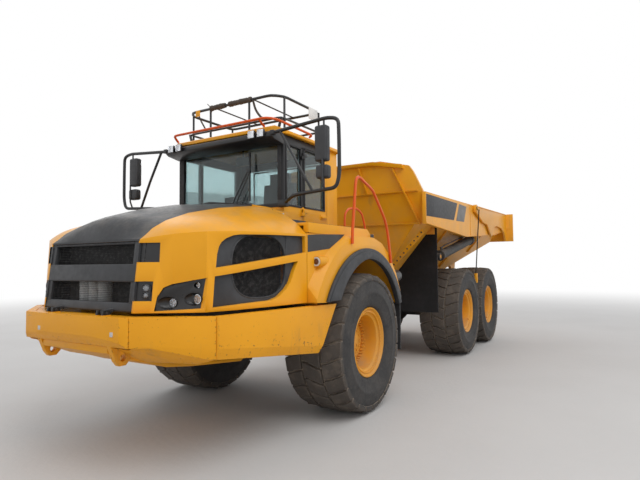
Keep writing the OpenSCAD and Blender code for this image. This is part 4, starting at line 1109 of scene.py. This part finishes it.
def make_bumper():
    whole = from_node("bumper")
    parts = []
    centre = copied(whole)
    cut_piece(centre, (0, CENTRE_HALF - SEAM_HALF, 0), (0, 1, 0), "inner")
    cut_piece(centre, (0, -CENTRE_HALF + SEAM_HALF, 0), (0, 1, 0), "outer")
    parts.append(centre)
    for s in (1, -1):
        corner = copied(whole)
        cut_piece(corner, (0, s * (CENTRE_HALF + SEAM_HALF), 0), (0, s, 0), "outer")
        side = copied(corner)
        cut_piece(corner, (SIDE_FRONT + SEAM_HALF, 0, 0), (1, 0, 0), "outer")
        cut_piece(side, (SIDE_FRONT - SEAM_HALF, 0, 0), (1, 0, 0), "inner")
        parts += [corner, side]
    bpy.data.objects.remove(whole)
    for p in parts:
        outwards(p)
        sliced(p, ((FOLD_X, 0, FOLD_Z), (-FOLD_SLOPE, 0, 1)))
        for vertex in p.data.vertices:
            below = FOLD_Z + FOLD_SLOPE * (vertex.co.x - FOLD_X) - vertex.co.z
            if below > 0 and vertex.co.x < SIDE_FRONT and abs(vertex.co.y) > 1.2:
                vertex.co.y -= math.copysign(0.30 * below, vertex.co.y)
        round_edges(p, 0.010, 3, 12)
    fit("bumper_panels", parts, "front_unit", "bumper_paint", 40, ("bumper",))

    # Shields between the corners and the skid plate, as [x, half width, low edge, skid plate's edge]
    stations = ((2.300, 1.235, 0.957, 0.868), (2.36, 1.160, 0.970, 0.893), (2.43, 1.065, 0.994, 0.920),
                (2.52, 0.935, 1.028, 0.960), (2.60, 0.825, 1.058, 1.002), (2.665, 0.735, 1.060, 1.040))
    rows = [[(x, y - 0.010, z + 0.004), (x, y * 0.93, z - 0.018),
             (x, y * 0.75 + 0.10, z * 0.6 + low * 0.4 - 0.014), (x, 0.447, low)]
            for x, y, z, low in stations]
    fit("corner_shields", both([sheet("shield", rows, 0.006)]), "front_unit", "bumper_paint", 60)

    reflectors = [block("reflector", (x - 0.005, y - 0.017, 1.142), (x + 0.003, y + 0.017, 1.178), 0.002)
                  for x, y in ((2.7415, 0.563), (2.7530, -0.397))]
    fit("bumper_reflectors", reflectors, "front_unit", "reflector", 35)


# Fenders and walkways

def fender_y(x):
    """Outer face of the left fender's side panel at this place along it."""
    return 1.345 - 0.053 * max(0.0, x - 0.5) / 0.605


STUD_STEP = 0.04


def make_fenders():
    for side in SIDES:
        dress(f"{side}_fender", f"{side}_fender_panels", "front_unit", "yellow", 38, 0.006)
    dress("arch_flares", "arch_rubbers", "front_unit", "charcoal", 35, 0.004)

    def on_arch(radius, degrees):
        return radius * math.cos(math.radians(degrees)), HUB_Z + radius * math.sin(math.radians(degrees))

    # Rubber lip inside the arch, wider towards the front
    steps = 36
    outer = [on_arch(1.030, 30.3 + (158 - 30.3) * i / steps) for i in range(steps + 1)]
    inner = [on_arch(0.855 + 0.093 * min(1, i / 16), 37.5 + 119.5 * i / steps) for i in range(steps + 1)]
    lip = plate("arch_lip", outer + inner[::-1], "Y", 1.372, 0.064, 0.008, 2)
    fit("arch_lips", both([lip]), "front_unit", "charcoal")

    # Dark panel behind the hood's seam
    panel = plate("fender_panel", [(1.094, 1.803), (1.094, 1.970), (0.93, 1.984), (0.431, 2.002),
                                   (0.56, 1.930), (0.73, 1.841)], "Y", -0.001, 0.004)
    sliced(panel, ((0.5, 0, 0), (1, 0, 0)))
    for vertex in panel.data.vertices:
        vertex.co.y += fender_y(vertex.co.x)
    round_edges(panel, 0.0015, 1)
    fit("fender_panels_dark", both([panel]), "front_unit", "gloss_black", 35)

    # Side marker lamps at the front of round bosses that grow out of the arch band
    at = (0, 1.322, 1.708)
    boss = turned("boss", [(0.0, 0.76), (0.056, 0.78), (0.056, 0.978), (0.054, 0.985), (0.049, 0.986),
                           (0.047, 0.982), (0.047, 0.970), (0.0, 0.970)], 40, at, (1, 0, 0))
    fit("marker_bosses", both([boss]), "front_unit", "yellow", 40)
    ring = turned("marker_ring", [(0.030, 0.968), (0.046, 0.968), (0.046, 0.988), (0.042, 0.993),
                                  (0.034, 0.993), (0.030, 0.988)], 36, at, (1, 0, 0))
    fit("marker_rings", both([ring]), "front_unit", "reflector", 40)
    lens = turned("marker_lens", [(0.0, 0.972), (0.030, 0.972), (0.029, 0.986), (0.018, 0.992),
                                  (0.0, 0.994)], 36, at, (1, 0, 0))
    fit("marker_lenses", both([lens]), "front_unit", "smoke_lens", 40)

    # Anti-slip plates on the walkways and a dark strip along their outer edge
    mats = []
    for x0, x1 in ((-0.18, 0.20), (0.22, 0.62), (0.64, 1.06)):
        mats.append(block("mat", (x0, 0.90, 2.0955), (x1, 1.225, 2.100), 0.002))
        for i in range(int((x1 - x0) / STUD_STEP)):
            for j in range(8):
                x, y = x0 + 0.025 + i * STUD_STEP, 0.925 + j * STUD_STEP
                mats.append(bar("stud", (x, y, 2.0995), (x, y, 2.103), 0.008, 6))
    mats.append(block("edge_strip", (-0.17, 1.245, 2.0955), (1.08, 1.300, 2.0985), 0.001))
    fit("walkway_mats", both([joined("mats", mats)]), "front_unit", "rubber", 35)

    # Rivets along the inner wall of the wheel arch
    rivets = []
    for k in range(13):
        x, z = on_arch(0.985, 20 + k * 11.5)
        rivets.append(turned("rivet", [(0, 0.875), (0.010, 0.875), (0.008, 0.881), (0, 0.882)], 10,
                             (x, 0, z)))
    fit("arch_rivets", both([joined("rivets", rivets)]), "front_unit", "black_steel", 35)

    # Lamp that looks backwards and outwards from the fender's end
    turn = Matrix.Translation((-0.330, 1.290, 1.990)) @ Matrix.Rotation(math.radians(-58), 4, "Z")
    lamp = block("rear_work_lamp", (-0.034, -0.045, -0.048), (0.030, 0.045, 0.048), 0.010, 3)
    glass = block("rear_work_glass", (-0.038, -0.038, -0.041), (-0.033, 0.038, 0.041), 0.0015)
    for p in (lamp, glass):
        p.data.transform(turn)
    foot = block("lamp_foot", (-0.355, 1.260, 1.915), (-0.305, 1.300, 1.955), 0.004)
    fit("fender_lamps", both([lamp, foot]), "front_unit", "charcoal")
    fit("fender_lamp_glasses", both([glass]), "front_unit", "lens")


# Cab

def make_cab():
    dress("cab_shell", "cab_panels", "front_unit", "cab_paint", 38, 0.006)
    dress("cab_roof", "cab_roof_panel", "front_unit", "yellow", 45, 0.014, 3)
    dress("cab_door", "door_panel", "door", "cab_paint", 38, 0.004)
    dress("sun_visor", "visor_panel", "front_unit", "gloss_black", 40, 0.012, 3)
    dress("cab_interior", "cab_seat_and_console", "front_unit", "gloss_black", 38, 0.012)

    # Seam on the cowl's side with two bolts behind it, and below it a dark strip painted as the shade of the
    # recess
    seams = [tube("cowl_seam", [(1.076, 0.860, 2.128), (1.076, 0.857, 2.252)], 0.003, 0.001, 1),
             # Dark strip painted as the shade in the recess along the cowl
             plate("cowl_strip", [(1.10, 2.112), (1.10, 2.160), (0.80, 2.170), (0.46, 2.172), (0.46, 2.124),
                                  (-0.20, 2.124), (-0.20, 2.112)], "Y", 0.859, 0.004, 0.001)]
    fit("cowl_seams_and_recess_shade", both(seams), "front_unit", "charcoal")
    bolt = [(0, 0.860), (0.013, 0.860), (0.011, 0.868), (0, 0.870)]
    bolts = [turned("cowl_bolt", bolt, 20, (x, 0, 2.215)) for x in (0.98, 0.90)]
    fit("cowl_bolts", both(bolts), "front_unit", "bright_rod")

    # Rubber seals round the windows, each as four strips
    def seal(axis, at, a0, a1, z0=2.345, z1=3.0, t=0.022, depth=0.010):
        strips = []
        for p, q in (((a0 - t, z0 - t), (a1 + t, z0)), ((a0 - t, z1), (a1 + t, z1 + t)),
                     ((a0 - t, z0 - t), (a0, z1 + t)), ((a1, z0 - t), (a1 + t, z1 + t))):
            if axis == "Y":
                strips.append(block("seal", (p[0], at, p[1]), (q[0], at + depth, q[1]), 0.003))
            else:
                strips.append(block("seal", (at, *p), (at + depth, *q), 0.003))
        return strips

    seals = []
    for window in (("X", 0.795, -0.72, 0.72, 2.355, 3.0, 0.045), ("X", -0.507, -0.64, 0.64),
                   ("Y", 0.797, 0.470, 0.740), ("Y", -0.807, 0.470, 0.740), ("Y", -0.807, -0.350, 0.425)):
        seals += seal(*window)
    fit("window_seals", seals, "front_unit", "rubber", 35)
    fit("door_seal", seal("Y", 0.797, -0.045, 0.380, t=0.02, depth=0.012), "door", "rubber", 35)
    handle = [block("door_handle", (-0.085, 0.802, 2.235), (0.035, 0.826, 2.262), 0.006, 2),
              block("handle_base", (-0.095, 0.800, 2.215), (0.045, 0.808, 2.285), 0.003)]
    fit("door_handle", handle, "door", "yellow")

    # Wiper on its parallel arms
    blade = [(0.828, 0.350, 2.40), (0.832, 0.355, 2.74), (0.828, 0.345, 2.955)]
    arms = [tube("blade", blade, 0.010, 0.02, 2),
            block("blade_rubber", (0.812, 0.345, 2.40), (0.822, 0.355, 2.955), 0.002),
            block("clamp", (0.830, 0.325, 2.715), (0.856, 0.375, 2.760), 0.006)]
    for y, end, r in ((0.10, (0.842, 0.335, 2.745), 0.008), (0.15, (0.842, 0.365, 2.730), 0.007)):
        arms.append(tube("arm", [(0.835, y, 2.34), (0.850, y + 0.04, 2.42), end], r, 0.02, 2))
        arms.append(bar("pivot", (0.80, y, 2.345), (0.86, y, 2.345), 0.022, 20, 0.004))
    fit("wiper", arms, "front_unit", "gloss_black")

    # Mirror, display and lattice panel inside the cab
    inner = [block("inner_mirror", (0.655, 0.02, 2.85), (0.685, 0.24, 2.955), 0.014, 3),
             tube("mirror_stalk", [(0.67, 0.13, 2.95), (0.68, 0.13, 3.06)], 0.009, 0.01, 2),
             block("display", (0.60, -0.20, 2.33), (0.64, 0.06, 2.50), 0.012, 3)]
    fit("cab_fittings", inner, "front_unit", "gloss_black")
    lattice = []
    for k in range(9):
        y = 0.10 + k * 0.028
        lattice.append(tube("strand", [(-0.19, y, 2.30), (-0.19, y, 2.52)], 0.004, 0.001, 1))
        if k < 8:
            z = 2.31 + k * 0.028
            lattice.append(tube("strand", [(-0.19, 0.09, z), (-0.19, 0.335, z)], 0.004, 0.001, 1))
    fit("lattice_panel", lattice, "front_unit", "reflector")

    # Lamps on the visor
    cases, glasses, bowls = [], [], []
    for y in (-0.678, -0.553, 0.553, 0.678):
        cases.append(block("case", (1.0205, y - 0.0445, 3.0355), (1.055, y + 0.0445, 3.1215), 0.010, 3))
        bowls.append(block("bowl", (1.053, y - 0.039, 3.041), (1.0575, y + 0.039, 3.116), 0.002))
        glasses.append(block("glass", (1.055, y - 0.040, 3.040), (1.0595, y + 0.040, 3.117), 0.002, 3))
        for k in (-0.02, 0.0, 0.02):
            cases.append(block("fin", (1.010, y + k - 0.002, 3.055), (1.024, y + k + 0.002, 3.105)))
    fit("visor_lamp_cases", cases, "front_unit", "gloss_black", 38, ("work_lamps",))
    fit("visor_lamp_bowls", bowls, "front_unit", "chrome")
    fit("visor_lamp_glasses", glasses, "front_unit", "lens")

    # Aerials at the back of the roof
    rods = []
    for y, tip, foot in ((-0.55, (-0.32, -0.55, 3.53), 3.185), (-0.10, (-0.33, -0.10, 3.55), 3.190)):
        rods.append(tube("aerial", [(-0.30, y, 3.19), tip], 0.004, 0.01, 2))
        rods.append(bar("aerial_foot", (-0.30, y, foot), (-0.30, y, foot + 0.030), 0.018, 16, 0.004))
    fit("aerials", rods, "front_unit", "gloss_black")


def make_mirrors():
    loop = [(1.0, 0.812, 3.075), (1.0, 1.475, 3.128), (1.0, 1.60, 3.10), (1.0, 1.605, 2.90),
            (1.0, 1.605, 2.55), (1.0, 1.57, 2.425), (0.97, 1.04, 2.396), (0.835, 0.845, 2.345)]
    loops = [tube("loop", loop, 0.019, 0.09, 5),
             tube("brace", [(1.0, 0.90, 3.082), (1.0, 1.10, 2.74), (0.985, 1.29, 2.408)], 0.015, 0.05, 2),
             block("foot", (0.80, 0.76, 2.30), (0.86, 0.87, 2.38), 0.008, 2),
             block("top_foot", (0.97, 0.785, 3.05), (1.03, 0.835, 3.10), 0.008, 2)]
    fit("mirror_loops", both(loops), "front_unit", "gloss_black", 50, ("mirrors",))
    heads, glasses = [], []
    for z0, z1, y0 in ((2.700, 3.060, 1.335), (2.528, 2.662, 1.345)):
        heads.append(block("head", (0.938, y0, z0), (1.030, y0 + 0.140, z1), 0.024, 4))
        glasses.append(block("glass", (0.9355, y0 + 0.015, z0 + 0.02), (0.9385, y0 + 0.125, z1 - 0.02),
                             0.002))
    # Upright tube that carries the heads inside the loop
    heads.append(tube("carrier", [(1.0, 1.435, 3.120), (1.0, 1.435, 3.040)], 0.010, 0.01, 2))
    heads.append(tube("carrier", [(1.0, 1.435, 2.418), (1.037, 1.435, 2.500), (1.037, 1.435, 2.715)], 0.010,
                      0.02, 2))
    fit("mirror_heads", both(heads), "front_unit", "charcoal", 45)
    fit("mirror_glasses", both(glasses), "front_unit", "chrome")


# Front tube of the roof rail
RAIL_X = 0.770
RAIL_Z = 3.583


def make_roof_rail():
    dress("roof_rail", "roof_rail_tubes", "front_unit", "gloss_black", 50)
    # Canvas wrapped round the front rail in two lengths, with its ties
    wraps = []
    for y0, y1 in ((-0.296, -0.065), (0.002, 0.330)):
        deselect()
        bpy.ops.mesh.primitive_cylinder_add(vertices=20, radius=0.031, depth=y1 - y0,
                                            rotation=(math.pi / 2, 0, 0),
                                            location=(RAIL_X, (y0 + y1) / 2, RAIL_Z))
        wrap = settle(bpy.context.object)
        sliced(wrap, *[((0, y0 + k * (y1 - y0) / 16, 0), (0, 1, 0)) for k in range(1, 16)])
        for vertex in wrap.data.vertices:
            y = vertex.co.y
            swell = (1 + 0.10 * math.sin(y * 61) * math.sin(y * 23 + 1)
                     + 0.07 * math.sin(y * 140 + 3 * vertex.co.x))
            vertex.co.x = RAIL_X + (vertex.co.x - RAIL_X) * swell
            vertex.co.z = RAIL_Z + (vertex.co.z - RAIL_Z) * swell
        wraps.append(wrap)
    wraps += [tube("tie", [(0.775, -0.300, 3.600), (0.790, -0.335, 3.640)], 0.005, 0.01, 1),
              tube("tie", [(0.775, -0.275, 3.560), (0.785, -0.285, 3.525)], 0.010, 0.01, 2)]
    fit("rail_wraps", wraps, "front_unit", "canvas", 60)
    straps = [tube("strap", [(0.77, -0.520, 3.578), (0.76, -0.480, 3.472), (0.76, -0.395, 3.345),
                             (0.77, -0.350, 3.331)], 0.010, 0.04, 2),
              tube("strap", [(0.77, 0.352, 3.578), (0.76, 0.384, 3.449), (0.76, 0.470, 3.345),
                             (0.77, 0.545, 3.331)], 0.013, 0.06, 2)]
    fit("canvas_straps", straps, "front_unit", "canvas", 60)
    pale_plate = block("rail_plate", (-0.035, 0.724, 3.445), (0.165, 0.729, 3.592), 0.002)
    fit("rail_plate", [pale_plate], "front_unit", "reflector")
    tag = block("rail_tag", (0.784, -0.535, 3.512), (0.788, -0.463, 3.588), 0.001)
    fit("rail_tag", [tag], "front_unit", "yellow")
    bars = [tube("top_bar", [(0.765, y, 3.58), (-0.085, y - 0.02, 3.58)], 0.009, 0.01, 2)
            for y in (-0.235, 0.352)]
    fit("rail_bars", bars, "front_unit", "gloss_black", 50)


# Load body

def head_x(z):
    """Front face of the headboard at this height."""
    return -2.33 + 0.59 * (z - 1.66) / 1.58


def on_headboard(piece):
    for vertex in piece.data.vertices:
        vertex.co.x += head_x(vertex.co.z)
    return piece


def strip_outline(a, b, half):
    a, b = Vector(a), Vector(b)
    side = Vector((-(b - a).y, (b - a).x)).normalized() * half
    return [tuple(a + side), tuple(b + side), tuple(b - side), tuple(a - side)]


def make_body():
    dress("dump_body", "body_panels", "load_body", "body_yellow", 38, 0.008)

    # Lip that is folded forward along the headboard's top, as [y, z]
    top = [(0.0, 3.238), (0.69, 3.238), (1.152, 3.160)]
    low = [(0.0, 3.192), (0.67, 3.187), (1.158, 3.098)]
    lip = plate("lip", top + low[::-1], "X", -0.01, 0.062, 0.004)
    rib_low = plate("rib", strip_outline((0.435, 3.17), (0.505, 2.775), 0.008), "X", 0, 0.055, 0.003)
    rib_long = plate("rib", strip_outline((0.995, 3.112), (1.302, 2.268), 0.009), "X", 0, 0.062, 0.003)
    shelf = plate("shelf", [(0, 2.762), (1.33, 2.762), (1.33, 2.780), (0, 2.780)], "X", 0, 0.030, 0.003)
    bend = plate("bend", [(0, 2.292), (1.27, 2.280), (1.27, 2.306), (0, 2.312)], "X", 0, 0.024, 0.003)
    edge = plate("edge", strip_outline((1.325, 2.185), (0.72, 1.632), 0.030), "X", -0.002, 0.012, 0.003)
    ribs = [on_headboard(p) for p in (lip, rib_low, rib_long, shelf, bend, edge)]
    fit("headboard_ribs", both(ribs), "load_body", "body_yellow", 35)

    bolts = []
    for k in range(9):
        t = (k + 0.5) / 9
        y, z = 1.325 - 0.605 * t, 2.185 - 0.553 * t
        bolts.append(bar("strip_bolt", (head_x(z) + 0.010, y, z), (head_x(z) + 0.026, y, z), 0.013, 6,
                         0.002))
    fit("strip_bolts", both(bolts), "load_body", "black_steel", 35)

    # Upright ribs on the slanting walls, and the seam plates of the side rails
    walls = []

    def wall_z(y):
        """Height of the slanting wall's outer face this far out."""
        return 1.48 + (y - 0.52) * 1.06 / 0.89

    head = 1.405
    for x in (-3.70, -4.95, -6.15):
        foot = 0.62 + max(0.0, -5.3 - x) * 0.32
        outline = [(foot, wall_z(foot)), (head, wall_z(head)), (head, wall_z(head) - 0.055),
                   (foot + 0.04, wall_z(foot) - 0.012)]
        walls.append(plate("wall_rib", outline, "X", x - 0.006, 0.012, 0.002))
    walls.append(block("rail_seam", (-4.42, 1.449, 2.19), (-4.40, 1.456, 2.79), 0.002))
    walls.append(plate("rail_fold",
                       [(-1.905, 2.268), (-4.10, 2.163), (-6.50, 2.303), (-7.49, 2.440), (-7.49, 2.452),
                        (-6.50, 2.318), (-4.10, 2.180), (-1.905, 2.285)], "Y", 1.446, 0.018, 0.003))
    walls.append(block("front_edge", (-1.915, 1.395, 2.262), (-1.898, 1.455, 2.745), 0.003))
    fit("body_ribs", both(walls), "load_body", "body_yellow", 35)

    dark = [plate("side_panel", [(-1.913, 2.385), (-3.329, 2.416), (-3.554, 2.730), (-1.905, 2.716)], "Y",
                  1.4485, 0.004, 0.001)]
    fit("side_panels_dark", both(dark), "load_body", "charcoal", 35)
    grey = [plate("side_plate", [(-3.467, 2.417), (-3.965, 2.429), (-4.150, 2.726), (-3.672, 2.731)], "Y",
                  1.4485, 0.004, 0.001)]
    fit("side_panels_grey", both(grey), "load_body", "worn_grey", 35)

    dress("body_mudflaps", "body_flaps", "load_body", "flap", 35, 0.003, 1)
    brackets = [plate("flap_bracket", [(1.062, 2.165), (1.066, 2.320), (1.25, 2.320), (1.25, 2.160)], "X",
                      -2.898, 0.012, 0.003)]
    for y, z in ((1.095, 2.25), (1.15, 2.20), (1.21, 2.25)):
        brackets.append(bar("flap_bolt", (-2.888, y, z), (-2.872, y, z), 0.013, 6, 0.002))
    fit("flap_brackets", both(brackets), "load_body", "body_yellow", 35)


GATE_PIVOT = (-4.70, 0, 2.742)


def make_tailgate():
    dress("tailgate", "gate_panels", "tailgate", "body_yellow", 38, 0.008)
    extras = [turned("boss", [(0, 1.450), (0.075, 1.450), (0.075, 1.507), (0.070, 1.512), (0, 1.512)], 28,
                     GATE_PIVOT), plate("arm_fold",
                                        [(-4.81, 2.790), (-7.50, 2.846), (-7.50, 2.832), (-4.81, 2.775)],
                                        "Y", 1.500, 0.012, 0.003)]
    fit("gate_bosses", both(extras), "tailgate", "body_yellow")
    pins = [turned("gate_pin", [(0, 1.505), (0.040, 1.505), (0.040, 1.522), (0.034, 1.528), (0, 1.528)], 24,
                   GATE_PIVOT)]
    fit("gate_pins", both(pins), "tailgate", "black_steel")
    # Ribs on the gate's back
    back = []
    for y in (-1.1, -0.55, 0.0, 0.55, 1.1):
        back.append(block("gate_rib", (-7.618, y - 0.04, 2.22), (-7.558, y + 0.04, 2.82), 0.006))
    back.append(block("gate_rail", (-7.612, -1.60, 2.48), (-7.556, 1.60, 2.54), 0.006))
    fit("gate_ribs", back, "tailgate", "body_yellow", 35)


# Rear unit

def make_rear():
    for node, edge in (("rear_frame", 0.005), ("bogie_beams", 0.006)):
        dress(node, f"{node}_plates", "rear_unit", "frame_yellow", 38, edge)
    # Rear lamps with ribbed lenses
    for y, colour in ((0.42, "red_lens"), (0.52, "amber")):
        lens = block("rear_lens", (-6.706, y, 1.125), (-6.696, y + 0.09, 1.225), 0.004)
        fit(f"rear_lenses_{colour}", both([lens]), "rear_unit", colour)
    case = block("rear_case", (-6.699, 0.410, 1.115), (-6.641, 0.635, 1.235), 0.010, 3)
    fit("rear_lamp_cases", both([case]), "rear_unit", "gloss_black", 38, ("rear_lamps",))
    # Hoses along the frame to the hoist cylinders
    hoses = []
    for k in range(3):
        y = 0.20 + k * 0.05
        hoses.append(tube("hose", [(-1.80, y, 1.24), (-2.1, y, 1.335), (-2.8, y + 0.05, 1.35),
                                   (-2.97, 0.50, 1.33), (-3.00, 0.95, 1.20)], 0.017, 0.1, 2))
    fit("hoist_hoses", both(hoses), "rear_unit", "gloss_black", 50)
    # Yellow stop block between the rear tyres, with the wire up to the gate's pivot
    stops = [block("wire_stop", (-5.135, 1.335, 1.272), (-5.065, 1.390, 1.465), 0.008)]
    fit("wire_stops", both(stops), "rear_unit", "yellow")
    arms = [block("wire_arm", (-5.14, 0.45, 1.225), (-5.06, 1.385, 1.272), 0.008)]
    fit("wire_arms", both(arms), "rear_unit", "black_steel")
    low, high = Vector((-5.10, 1.362, 1.46)), Vector((-4.715, 1.545, 2.72))
    wires = both([tube("gate_wire", [low.lerp(high, k / 12) for k in range(13)], 0.011, 0.001, 2)])
    wire = fit("gate_wires", wires, None, "black_steel", 60)
    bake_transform(wire)


def make_cylinders():
    for side, s in SIDES.items():
        for kind, material, edge in (("barrel", "grey_steel", 0.003), ("rod", "bright_rod", 0.0)):
            for name in ("hoist", "steer"):
                node = f"{name}_{kind}_{side}"
                dress(node, f"{node}_dressed", node, material, 35, edge, 1)
        # Gland ring and ports on the hoist barrel
        a, b = Vector((-3.055, s * 1.24, 1.79)), Vector((-5.40, s * 1.24, 2.19))
        along = (b - a).normalized()
        fittings = [bar("gland", a + along * t, a + along * (t + w), r, 32, 0.006)
                    for t, w, r in ((0.10, 0.05, 0.094), (2.02, 0.08, 0.098))]
        for t in (0.22, 1.9):
            fittings.append(bar("port", a + along * t, a + along * t + Vector((0.02, 0, 0.13)), 0.024, 12,
                                0.004))
        route = ((0.22, 0.02, 0.125), (0.4, 0, 0.135), (1.7, 0, 0.135), (1.9, 0.02, 0.125))
        fittings.append(tube("pipe", [a + along * t + Vector((x, 0, z)) for t, x, z in route], 0.011, 0.05,
                             2))
        fit(f"hoist_fittings_{side}", fittings, f"hoist_barrel_{side}", "grey_steel")


# Front unit below the cab

def make_front_rest():
    dress("skid_plate", "skid_panel", "front_unit", "yellow", 38, 0.006)
    dress("front_frame", "front_frame_plates", "front_unit", "black_steel", 38, 0.005)
    dress("handrails", "handrail_tubes", "front_unit", "orange", 50)
    dress("access_steps", "step_plates", "front_unit", "black_steel", 38, 0.004, 1)
    treads = []
    for z in (0.62, 0.88, 1.14, 1.40):
        for k in range(12):
            y = 1.012 + k * 0.0242
            outline = [(y + out, z + up) for out,
                       up in ((0, 0.030), (0.006, 0.040), (0.014, 0.040), (0.02, 0.030))]
            treads.append(plate("tooth", outline, "X", -1.115, 0.070))
    fit("step_teeth", both(treads), "front_unit", "black_steel")
    dress("front_mudflaps", "front_flaps", "front_unit", "rubber", 38, 0.003, 1)
    # Dark rounds and the yellow brackets at the back of the fenders
    parts = [bar("side_step", (-0.86, 1.29, 1.475), (-1.13, 1.29, 1.520), 0.082, 28, 0.012),
             bar("step_cap", (-1.125, 1.29, 1.519), (-1.15, 1.29, 1.523), 0.070, 28, 0.006)]
    fit("side_steps", both(parts), "front_unit", "gloss_black")
    parts = [block("step_bracket", (-1.12, 1.22, 1.22), (-0.99, 1.30, 1.41), 0.006, 2)]
    fit("step_brackets", both(parts), "front_unit", "yellow")
    # Hoses between the frame's end and the hitch
    hoses = []
    for k in range(4):
        y, lift = 0.13 + k * 0.045, 0.02 * k
        route = [(-0.86, y, 1.22 + lift), (-0.95, y, 1.25 + lift), (-1.02, y + 0.02, 1.27 + lift)]
        hoses.append(tube("hose", route, 0.016, 0.05, 2))
    fit("steering_hoses", both(hoses), "front_unit", "gloss_black", 50)


# Floor that fades to white with distance, and light

def seen_rays(nodes, links):
    """1 on the camera's rays and on rays off gloss or through glass."""
    path = nodes.new("ShaderNodeLightPath")
    seen = path.outputs["Is Camera Ray"]
    for name in ("Is Glossy Ray", "Is Transmission Ray"):
        either = nodes.new("ShaderNodeMath")
        either.operation = "MAXIMUM"
        links.new(seen, either.inputs[0])
        links.new(path.outputs[name], either.inputs[1])
        seen = either.outputs[0]
    return seen


def set_stage():
    deselect()
    bpy.ops.mesh.primitive_plane_add(size=400, location=(0, 0, 0))
    floor = bpy.context.object
    floor.name = "studio_floor"
    f = Finish("studio_floor", (0.62, 0.60, 0.58), 0.8)
    f.tint(f.patches(0.35, 0.7, 0.6, 6), (0.56, 0.54, 0.52), 0.4)
    f.bump(f.noise(14, 5), 0.004)
    material = f.done()
    reach = f.nodes.new("ShaderNodeVectorMath")
    reach.operation = "LENGTH"
    f.links.new(f.place, reach.inputs[0])
    white = f.nodes.new("ShaderNodeEmission")
    blend = f.nodes.new("ShaderNodeMixShader")
    seen = seen_rays(f.nodes, f.links)
    f.links.new(f.times(seen, f.ramp(reach.outputs["Value"], 7.5, 26)), blend.inputs["Fac"])
    f.links.new(f.shader.outputs[0], blend.inputs[1])
    f.links.new(white.outputs[0], blend.inputs[2])
    f.links.new(blend.outputs[0], f.nodes["Material Output"].inputs["Surface"])
    floor.data.materials.append(material)

    world = bpy.data.worlds.new("studio_world")
    bpy.context.scene.world = world
    world.use_nodes = True
    nodes, links = world.node_tree.nodes, world.node_tree.links
    light = nodes["Background"]
    light.inputs["Color"].default_value = (0.93, 0.96, 1.0, 1)
    light.inputs["Strength"].default_value = 0.72
    seen = nodes.new("ShaderNodeBackground")
    seen.inputs["Color"].default_value = (1, 1, 1, 1)
    mix = nodes.new("ShaderNodeMixShader")
    links.new(seen_rays(nodes, links), mix.inputs["Fac"])
    links.new(light.outputs[0], mix.inputs[1])
    links.new(seen.outputs[0], mix.inputs[2])
    links.new(mix.outputs[0], nodes["World Output"].inputs["Surface"])

    for name, where, size, power in (("sky_panel", (6, 9, 13), 10, 900),
                                     ("fill_panel", (-6, -10, 9), 10, 350)):
        data = bpy.data.lights.new(name, "AREA")
        data.size = size
        data.energy = power
        lamp = bpy.data.objects.new(name, data)
        bpy.context.scene.collection.objects.link(lamp)
        lamp.location = where
        lamp.rotation_euler = (Vector((0, 0, 1)) - Vector(where)).to_track_quat("-Z", "Y").to_euler()
    bpy.context.scene.view_settings.view_transform = "Standard"


place_camera()
make_finishes()
finish_cad_nodes()
make_wheels()
make_hood()
make_grille()
make_lamp_pods()
make_bumper()
make_fenders()
make_cab()
make_mirrors()
make_roof_rail()
make_front_rest()
make_body()
make_tailgate()
make_rear()
make_cylinders()
set_stage()
